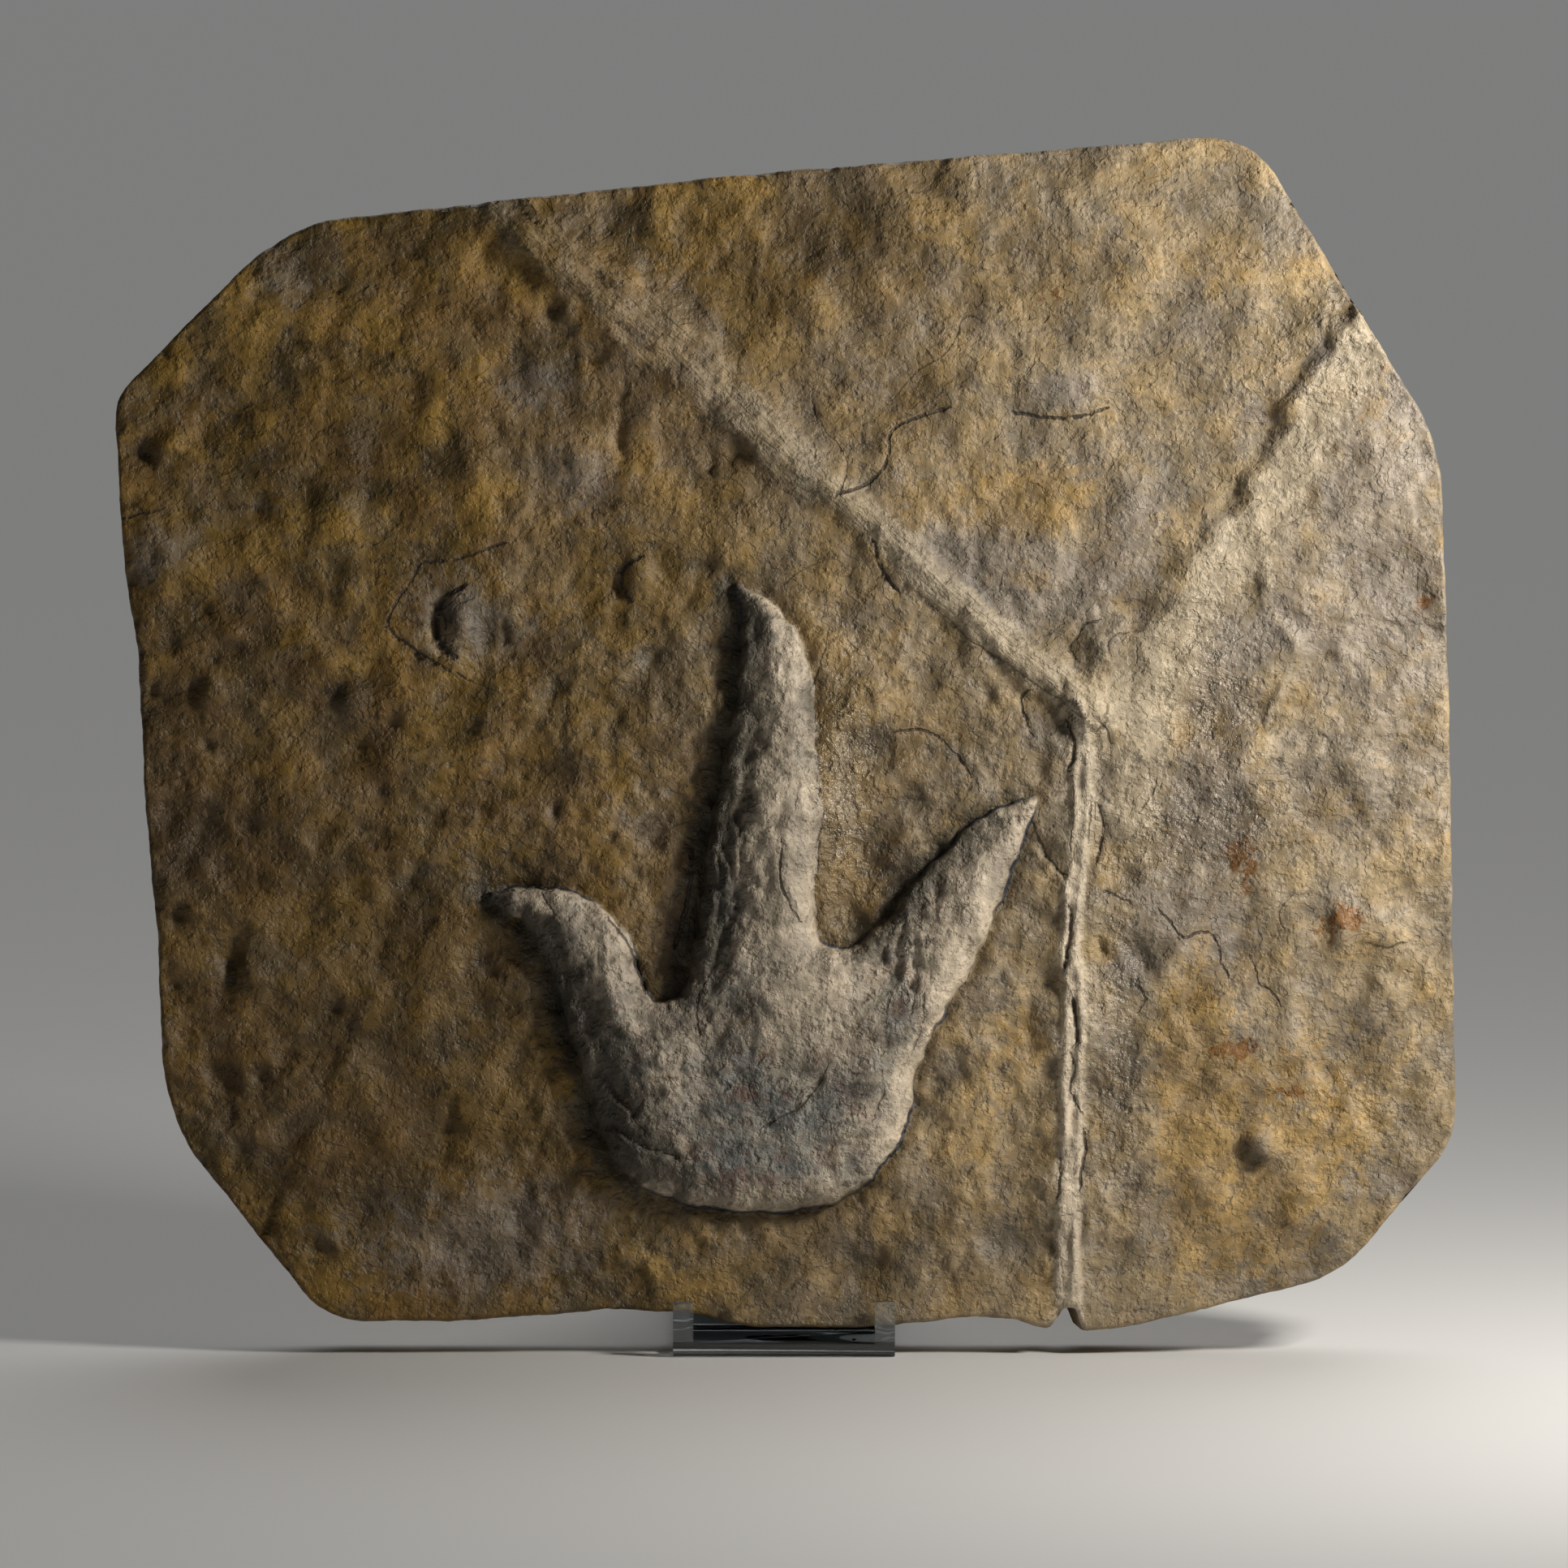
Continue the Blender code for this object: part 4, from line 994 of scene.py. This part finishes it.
class Finish:
    """A material and short ways to add nodes to it. A value is an output, a number or a colour."""

    def __init__(self, name):
        self.material = bpy.data.materials.new(name)
        self.material.use_nodes = True
        self.tree = self.material.node_tree
        self.shader = self.tree.nodes["Principled BSDF"]

    def put(self, socket, value):
        """A socket linked to an output, or set to a number or colour of its own."""
        if isinstance(value, bpy.types.NodeSocket):
            self.tree.links.new(value, socket)
        elif isinstance(value, tuple) and len(value) == 3 and socket.type == "RGBA":
            socket.default_value = (*value, 1.0)
        else:
            socket.default_value = value

    def give(self, **values):
        """Values for the shader's sockets, each named with _ for a space."""
        for name, value in values.items():
            self.put(self.shader.inputs[name.replace("_", " ")], value)

    def node(self, kind, inputs, **settings):
        """A node of a kind, with its settings and its inputs set or linked."""
        made = self.tree.nodes.new("ShaderNode" + kind)
        for key, value in settings.items():
            setattr(made, key, value)
        for key, value in inputs.items():
            self.put(made.inputs[key], value)
        return made

    def mark(self, name, output="Fac"):
        """A number kept on the mesh's points, or with output Vector a place."""
        return self.node("Attribute", {}, attribute_name=name).outputs[output]

    def maths(self, operation, *values):
        """A sum, floor or other operation on one, two or three values."""
        return self.node("Math", dict(enumerate(values)), operation=operation).outputs[0]

    def times(self, first, *others):
        """The product of some values."""
        for other in others:
            first = self.maths("MULTIPLY", first, other)
        return first

    def plus(self, value, pattern, share):
        """A value and a share of a pattern."""
        return self.maths("MULTIPLY_ADD", pattern, share, value)

    def pushed(self, value, pattern, push):
        """A value that is raised where a pattern is over one half and lowered where it is under."""
        return self.plus(value, self.maths("SUBTRACT", pattern, 0.5), push)

    def between(self, value, low, high):
        """0 below low, 1 above high and smooth between them. High may be the lower one."""
        inputs = {"Value": value, "From Min": low, "From Max": high}
        return self.node("MapRange", inputs, interpolation_type="SMOOTHSTEP").outputs["Result"]

    def scaled(self, value, low, high):
        """A value from 0 to 1 carried to the range from low to high."""
        inputs = {"Value": value, "To Min": low, "To Max": high}
        return self.node("MapRange", inputs).outputs["Result"]

    def stairs(self, value, steps, rise=0.2):
        """A value turned into level treads, with rises that take up the given share of each."""
        climb = self.times(value, steps)
        part = self.maths("FRACT", climb)
        level = self.maths("SUBTRACT", climb, part)
        riser = self.between(part, 0.5 - rise / 2, 0.5 + rise / 2)
        return self.maths("DIVIDE", self.maths("ADD", level, riser), steps)

    def mix(self, share, a, b, blend="MIX"):
        """Colour a where the share is 0 and b where it is 1, or b blended with a another way."""
        made = self.node("Mix", {"Factor": share}, data_type="RGBA", blend_type=blend)
        self.put(made.inputs[6], a)
        self.put(made.inputs[7], b)
        return made.outputs[2]

    def tinted(self, colour, tint, *shares):
        """A colour with a tint over it, as strong as the product of the shares."""
        return self.mix(self.times(*shares), colour, tint)

    def noise(self, where, size, detail=4.0, roughness=0.55, distortion=0.0):
        """Noise with lumps of about size, in the units of where, from 0 to 1."""
        inputs = {"Vector": where, "Scale": 1 / size, "Detail": detail, "Roughness": roughness,
                  "Distortion": distortion}
        return self.node("TexNoise", inputs).outputs["Fac"]

    def stretched(self, where, scale):
        """Places scaled by three numbers, for a pattern that is longer one way."""
        return self.node("Mapping", {"Vector": where, "Scale": scale}).outputs["Vector"]

    def bump(self, height, distance, normal=None):
        """Shading as if the surface stood out by height times distance, in metres."""
        inputs = {"Height": height, "Distance": distance, "Strength": 1.0}
        if normal is not None:
            inputs["Normal"] = normal
        return self.node("Bump", inputs).outputs["Normal"]


print("finish helpers ready")

# %% [markdown]
# Mudstone: the ground
#
# The ground is ochre and olive-brown on the left and a paler, greyer tan on the right, with
# clouds of warm grey all over. The left is also painted darker, as painted shade where the light
# falls off. Noises of different size mix them. Patches of ochre and grey have ragged edges,
# because noise is added before they are cut off. Where thin layers have scaled off, each tread of
# a stepped noise takes a tint of its own.

# %% The ground's colour
OLIVE = (0.112, 0.069, 0.014)
OCHRE_BROWN = (0.285, 0.166, 0.027)
RED_BROWN = (0.200, 0.102, 0.026)
UMBER_GREY = (0.205, 0.151, 0.083)
UMBER_BROWN = (0.108, 0.066, 0.022)
TAN = (0.385, 0.284, 0.152)
GREY_TAN = (0.300, 0.242, 0.165)
YELLOW = (0.405, 0.256, 0.082)
WARM_GREY = (0.274, 0.232, 0.186)
RUST_BROWN = (0.205, 0.086, 0.016)
PIT_DARK_AND_SHADE = (0.030, 0.025, 0.018)
TREADS = 11.0  # the thin layers' count
TINT_STEP = 0.382  # from one layer's tint to the next, as a share of all tints

stone = Finish("mudstone")
where = stone.mark("place_mm", "Vector")
clouds = stone.noise(where, 34.0, 2.0)
patches = stone.noise(where, 19.0, 3.0, 0.6)
blotches = stone.noise(where, 12.0, 4.0, 0.52)
mottle = stone.noise(where, 3.6)
specks = stone.noise(where, 2.4, 3.0, 0.65)
folded = stone.maths("ABSOLUTE", stone.maths("SUBTRACT", stone.noise(where, 3.0, 3.0, 0.5), 0.5))
wrinkles = stone.maths("SUBTRACT", stone.noise(where, 1.5, 3.0), folded)
grains = stone.noise(where, 0.8, 2.0, 0.6)
thin_layers = stone.noise(where, 17.0)
# Paler to the right: the ground's own tone, and painted light that falls off towards the left.
paler_and_lit_right = stone.between(stone.plus(stone.mark("pale"), clouds, 0.75), 0.0, 1.0)
glossy = stone.mark("glossy")


def ragged(name, low, high, push):
    """A patch from 0 to 1 with edges broken up by the mottle."""
    return stone.between(stone.pushed(stone.mark(name), mottle, push), low, high)


def to_right(left_share, right_share):
    """A share that goes from one value on the left of the slab to another on the right."""
    return stone.scaled(paler_and_lit_right, left_share, right_share)


left_ground = stone.mix(stone.between(blotches, 0.36, 0.62), OLIVE, OCHRE_BROWN)
left_ground = stone.tinted(left_ground, RED_BROWN, stone.between(clouds, 0.46, 0.62), 0.45)
left_ground = stone.tinted(left_ground, UMBER_GREY, stone.between(patches, 0.52, 0.66), 0.6)
right_ground = stone.mix(stone.between(blotches, 0.36, 0.62), GREY_TAN, TAN)
right_ground = stone.tinted(right_ground, YELLOW, stone.between(patches, 0.5, 0.7), 0.6)
colour = stone.mix(paler_and_lit_right, left_ground, right_ground)
# Umber: browner ground, and painted cast shadow beside the toes' left sides.
colour = stone.tinted(colour, UMBER_BROWN, ragged("umber", 0.2, 1.0, 1.6), 0.6)
colour = stone.tinted(colour, YELLOW, ragged("ochre", 0.25, 0.9, 1.8), to_right(0.35, 0.8))
colour = stone.tinted(colour, WARM_GREY, ragged("grey", 0.25, 0.9, 1.4), to_right(0.6, 0.8))
layer = stone.maths("FLOOR", stone.times(thin_layers, TREADS))
layer_tint = stone.maths("FRACT", stone.times(layer, TINT_STEP))
colour = stone.tinted(colour, WARM_GREY, stone.between(layer_tint, 0.55, 0.75), to_right(0.06, 0.24))
colour = stone.tinted(colour, YELLOW, stone.between(layer_tint, 0.3, 0.1), to_right(0.12, 0.36))
# Painted sheen: the glossy places are painted paler.
colour = stone.tinted(colour, TAN, ragged("glossy", 0.5, 1.3, 1.2), 0.4)
print("ground colours mixed")

# %% [markdown]
# Mudstone: ridges, print and stains
#
# The ridges are the palest part, a cream that has gone grey in places, with dark slits between
# their fibres. The print is grey-beige with blue-grey clouds and reddish and dark specks, and on
# the toes' left flanks the blue-grey is painted shade too. It is cleaner along the toes' crests
# and painted paler there as highlight, has a dark crust and painted shade on its shaded flanks,
# and along parts of its edge runs a thin dark line of ink with painted shadow below the edge.
# Rust spots, dark pits and painted shade on the shaded sides of knobs come next.

# %% The colour of ridges, print and stains
CREAM = (0.480, 0.396, 0.272)
BEIGE = (0.570, 0.475, 0.355)
PALE_BEIGE = (0.640, 0.535, 0.395)
RED_EARTH = (0.200, 0.094, 0.062)
BLUE_GREY = (0.175, 0.186, 0.180)
EDGE_INK_AND_SHADOW = (0.030, 0.034, 0.045)
DARK_CRUST_AND_SHADE = (0.056, 0.047, 0.029)
FIBRE_SCALE = (0.13, 0.6, 1.0)  # fibres to each mm along a ridge, across it and out of it

crest = stone.mark("crest")
cream = ragged("ridge", 0.25, 0.85, 1.2)
colour = stone.tinted(colour, CREAM, cream, to_right(0.35, 0.8))
colour = stone.tinted(colour, PALE_BEIGE, crest, cream)
fibres = stone.stretched(stone.mark("fibre_mm", "Vector"), FIBRE_SCALE)
fibres = stone.noise(fibres, 1.0, 4.0, 0.62, 0.7)
fibrous = stone.mark("fibrous")
colour = stone.tinted(colour, UMBER_BROWN, stone.between(fibres, 0.44, 0.32), fibrous, cream, 0.45)

into = stone.mark("into_print")
wavering = stone.pushed(into, mottle, 1.6)
blue = stone.mark("blue")
uneven = stone.plus(stone.times(blotches, 0.7), mottle, 0.5)
bluish = stone.between(stone.plus(uneven, blue, 0.45), 0.55, 1.0)
reddish = stone.between(stone.noise(where, 5.2, 3.0, 0.62), 0.53, 0.62)
blackish = stone.between(specks, 0.42, 0.33)
# Painted highlight: the crests are painted paler, where the mud is also cleaner.
clean_and_lit_crest = stone.between(stone.plus(crest, mottle, 0.5), 0.4, 1.0)
uncleaned = stone.between(stone.noise(where, 9.0, 4.0, 0.62), 0.47, 0.36)
# Blue-grey clouds, which on the toes' left flanks are painted shade too.
print_colour = stone.tinted(BEIGE, BLUE_GREY, bluish, 0.88)
print_colour = stone.tinted(print_colour, CREAM, stone.between(patches, 0.5, 0.7), 0.5)
print_colour = stone.tinted(print_colour, UMBER_GREY, stone.between(mottle, 0.48, 0.30), 0.4)
print_colour = stone.tinted(print_colour, RED_EARTH, reddish, stone.scaled(blue, 0.1, 0.7))
print_colour = stone.tinted(print_colour, DARK_CRUST_AND_SHADE, blackish, stone.scaled(blue, 0.3, 0.7))
print_colour = stone.tinted(print_colour, PALE_BEIGE, clean_and_lit_crest, 0.7)
print_colour = stone.tinted(print_colour, DARK_CRUST_AND_SHADE, uncleaned, stone.scaled(crest, 0.6, 0.1))
colour = stone.mix(stone.between(wavering, -0.3, 0.3), colour, print_colour)

# Painted shade: the ground just outside the print's edge is darkened to olive, as in a corner, with
# some dirt, and less so where it is glossy.
corner_shade_and_dirt = stone.times(stone.between(into, -5.0, 0.0), stone.between(into, 0.6, 0.0), 0.5)
colour = stone.tinted(colour, OLIVE, corner_shade_and_dirt, stone.scaled(glossy, 1.0, 0.0))
# Dark crust, and painted shade on the print's flanks that face away from the light.
colour = stone.tinted(colour, DARK_CRUST_AND_SHADE, ragged("crust_and_shade", 0.06, 0.78, 1.7), 0.86)
# A thin dark line at the print's edge: ink, and painted shadow below the edge.
line = stone.between(stone.maths("ABSOLUTE", wavering), 0.6, 0.1)
inked_and_shadowed = stone.between(stone.maths("ADD", stone.mark("inked_and_shadowed"), blotches), 0.75, 1.3)
colour = stone.tinted(colour, EDGE_INK_AND_SHADOW, line, inked_and_shadowed)
rust = stone.mark("rust")
rusty = stone.between(stone.pushed(rust, specks, 3.4), 0.3, 0.75)
colour = stone.tinted(colour, RUST_BROWN, rusty, stone.between(rust, 0.08, 0.4), 0.85)
# Dark pits, and painted shade on the unlit sides of knobs.
colour = stone.tinted(colour, PIT_DARK_AND_SHADE, ragged("dark", 0.35, 0.95, 1.6), 0.7)
print("ridges, print and stains coloured")

# %% [markdown]
# Mudstone: hollows, grain and cracks
#
# Hollows are painted darker than lumps, as painted shade, more so on the ground than on the
# ridges. The wrinkles that the bump uses are painted with a little shade too, and the grains with
# a little tone. A hairline crack is drawn where its distance is less than its width, jagged by
# noise and broken off here and there.

# %% Shades and hairline cracks
CRACK_DARK = (0.045, 0.033, 0.022)

# Painted shade: hollows darker than lumps, and wrinkles shaded as the bump is.
hollow_shade = stone.scaled(stone.between(stone.mark("high"), 0.1, 0.75), 0.6, 1.16)
hollow_shade = stone.mix(stone.times(cream, 0.5), hollow_shade, (1.0, 1.0, 1.0))
wrinkle_shade = stone.scaled(stone.between(wrinkles, 0.2, 0.6), 0.80, 1.14)
mottle_light = stone.scaled(stone.between(mottle, 0.32, 0.68), 0.85, 1.13)
shade = stone.times(hollow_shade, wrinkle_shade, stone.scaled(grains, 0.9, 1.1), mottle_light)
shades = stone.node("CombineColor", {0: shade, 1: shade, 2: shade}).outputs[0]
colour = stone.mix(1.0, colour, shades, "MULTIPLY")

crack_half = stone.mark("crack_half")
jagged = stone.maths("ABSOLUTE", stone.pushed(stone.mark("crack"), stone.noise(where, 1.3, 2.0), 0.8))
crack_share = stone.times(
    stone.between(stone.maths("DIVIDE", jagged, stone.times(crack_half, 1.1)), 1.5, 0.5),
    stone.between(stone.noise(where, 2.8, 2.0), 0.28, 0.44),
    stone.between(stone.mark("crack_away"), 1.5, 0.9),
    stone.between(crack_half, 0.05, 0.34))
colour = stone.tinted(colour, CRACK_DARK, crack_share, 0.92)
print("stone colours done")

# %% [markdown]
# Mudstone: fine relief and gloss
#
# The finest relief, from grains to wrinkles of two millimetres, is bump in the material. Broken
# mudstone has small sharp scales, so part of the noise is folded or stepped. The stone is dull,
# with a faint gloss where it was handled and in the smooth hollow beside the middle toe.

# %% The stone's fine relief and gloss
on_cast = stone.between(into, -0.3, 0.3)
scales = stone.stairs(stone.noise(where, 7.5, 4.0, 0.58), 8.0)
layer_steps = stone.times(stone.stairs(thin_layers, TREADS, 0.1), stone.scaled(on_cast, 1.0, 0.3))
rough_cast = stone.times(on_cast, stone.scaled(crest, 1.0, 0.0))
wrinkled = stone.times(wrinkles, stone.scaled(glossy, 1.0, 2.8), stone.scaled(rough_cast, 1.0, 1.9))
RELIEF = [  # a pattern and its height in metres
    (scales, 0.00066), (layer_steps, 0.0015), (wrinkled, 0.0005),
    (stone.times(fibres, fibrous), 0.0007), (grains, 0.0001), (crack_share, -0.0003),
]
normal = None
for height, distance in RELIEF:
    normal = stone.bump(height, distance, normal)

dull = stone.scaled(blotches, 0.42, 0.70)
stone.give(Base_Color=colour, Normal=normal, Roughness=stone.scaled(glossy, dull, 0.14))
slab.data.materials.append(stone.material)
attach(slab, "root")
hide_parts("slab")
print("slab finished")

# %% [markdown]
# The stand
#
# The stand is one strip of clear acrylic, bent with heat: a base, two prongs, a brace and a
# panel. The solid's shape is right, but real sheet has its edges broken, and it is those narrow
# bright bevels that make clear plastic visible. So the stand is a copy of the solid, with its
# triangles merged back into flat faces and a small bevel on every edge.

# %% The stand's shape
EDGE_BEVEL = 0.45 * MM

solid = bmesh.new()
solid.from_mesh(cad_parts["stand"].data)
bmesh.ops.remove_doubles(solid, verts=solid.verts, dist=1e-6)
bmesh.ops.dissolve_limit(solid, angle_limit=math.radians(1), verts=solid.verts, edges=solid.edges)
bmesh.ops.recalc_face_normals(solid, faces=solid.faces)
stand_mesh = bpy.data.meshes.new("acrylic_stand")
solid.to_mesh(stand_mesh)
solid.free()
stand_mesh.shade_smooth()
stand = placed("acrylic_stand", stand_mesh)
bevel = stand.modifiers.new("broken_edges", "BEVEL")
bevel.width = EDGE_BEVEL
bevel.segments = 3
bevel.harden_normals = True
bevel.limit_method = "ANGLE"
bevel.angle_limit = math.radians(25)
print("stand:", len(stand_mesh.polygons), "flat faces")

# %% [markdown]
# The stand's finish
#
# Clear plastic lets nearly all light through, bent by acrylic's refraction, 1.49. A small part
# is left as plain surface, so that thin prongs stay visible against the stone. It has a trace
# of colour, and fine rubbing dulls it in places.

# %% The stand's finish
RUB_SIZE = 4 * MM

acrylic = Finish("clear_acrylic")
object_place = acrylic.node("TexCoord", {}).outputs["Object"]
rubbed = acrylic.noise(acrylic.stretched(object_place, (1.0, 1.0, 0.25)), RUB_SIZE, 5.0)
rubbed = acrylic.scaled(acrylic.between(rubbed, 0.5, 0.75), 0.0, 0.04)
acrylic.give(Base_Color=(0.90, 0.945, 0.96), Transmission_Weight=0.95, IOR=1.49, Roughness=rubbed)
stand_mesh.materials.append(acrylic.material)
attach(stand, "root")
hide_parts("stand")
print("stand finished")

# %% [markdown]
# Floor and light
#
# A grazing light brings out low relief: here a soft box to the right of the slab, a little
# above it. It leaves the left side dim, as in the photograph. A weak, wide light from behind
# brightens the floor and the stone's back, and the sky adds almost nothing.

# %% Floor, lights and sky
FLOOR_HALF = 60.0  # metres, so that its edge is out of sight
MIDDLE = (0.0, -0.02, 0.14)  # of the slab, which the lights face


def lamp(name, kind, energy, spot, target, colour=(1.0, 1.0, 1.0), **settings):
    """A light at a spot, turned towards a target."""
    data = bpy.data.lights.new(name, kind)
    data.energy = energy
    data.color = colour
    for key, value in settings.items():
        setattr(data, key, value)
    made = placed(name, data)
    made.location = spot
    way = np.array(target, float) - np.array(spot, float)
    flat = math.hypot(way[0], way[1])
    made.rotation_euler = (math.atan2(flat, -way[2]), 0, math.atan2(-way[0], way[1]))
    made.visible_camera = False
    return made


floor_corners = np.array([(-1, -1), (1, -1), (1, 1), (-1, 1)]) * FLOOR_HALF
floor = mesh_object("floor", np.column_stack([floor_corners, np.zeros(4)]), [np.array([[0, 1, 2, 3]])])
paper = Finish("pale_paper")
paper.give(Base_Color=(0.66, 0.655, 0.64), Roughness=0.9)
floor.data.materials.append(paper.material)

lamp("key", "AREA", 2.15, (0.38, -0.19, 0.33), MIDDLE, (1.0, 0.96, 0.90), size=0.10)
lamp("behind", "SUN", 1.1, (0.5, 2.0, 2.6), MIDDLE, angle=math.radians(50))
sky = bpy.data.worlds.new("sky")
bpy.context.scene.world = sky
sky.use_nodes = True
background = sky.node_tree.nodes["Background"]
background.inputs["Color"].default_value = (0.80, 0.85, 0.92, 1.0)
background.inputs["Strength"].default_value = 0.03
bpy.context.scene.view_settings.view_transform = "Standard"

# %% [markdown]
# The camera
#
# The photograph looks almost straight at the slab's face, through a long lens, so there is
# hardly any perspective. The slab leans back by ten degrees and the camera looks down by seven.

# %% The camera
CAMERA_DISTANCE = 4.0
CAMERA_HEIGHT = math.radians(7.0)
FRAME_WIDTH = 0.3755  # metres, at the slab's face
FRAME_MIDDLE = 130.2  # mm up the face, at the middle of the picture

camera_data = bpy.data.cameras.new("camera")
camera_data.sensor_width = 36.0
camera_data.lens = camera_data.sensor_width * CAMERA_DISTANCE / FRAME_WIDTH
camera_data.clip_end = 200.0
camera = placed("camera", camera_data)
aim = in_room(0.0, FRAME_MIDDLE, THICKNESS)[0]
back_off = np.array((0.0, -math.cos(CAMERA_HEIGHT), math.sin(CAMERA_HEIGHT)))
camera.location = aim + CAMERA_DISTANCE * back_off
camera.rotation_euler = (math.pi / 2 - CAMERA_HEIGHT, 0, 0)
bpy.context.scene.camera = camera
print("lens:", round(camera_data.lens), "mm")
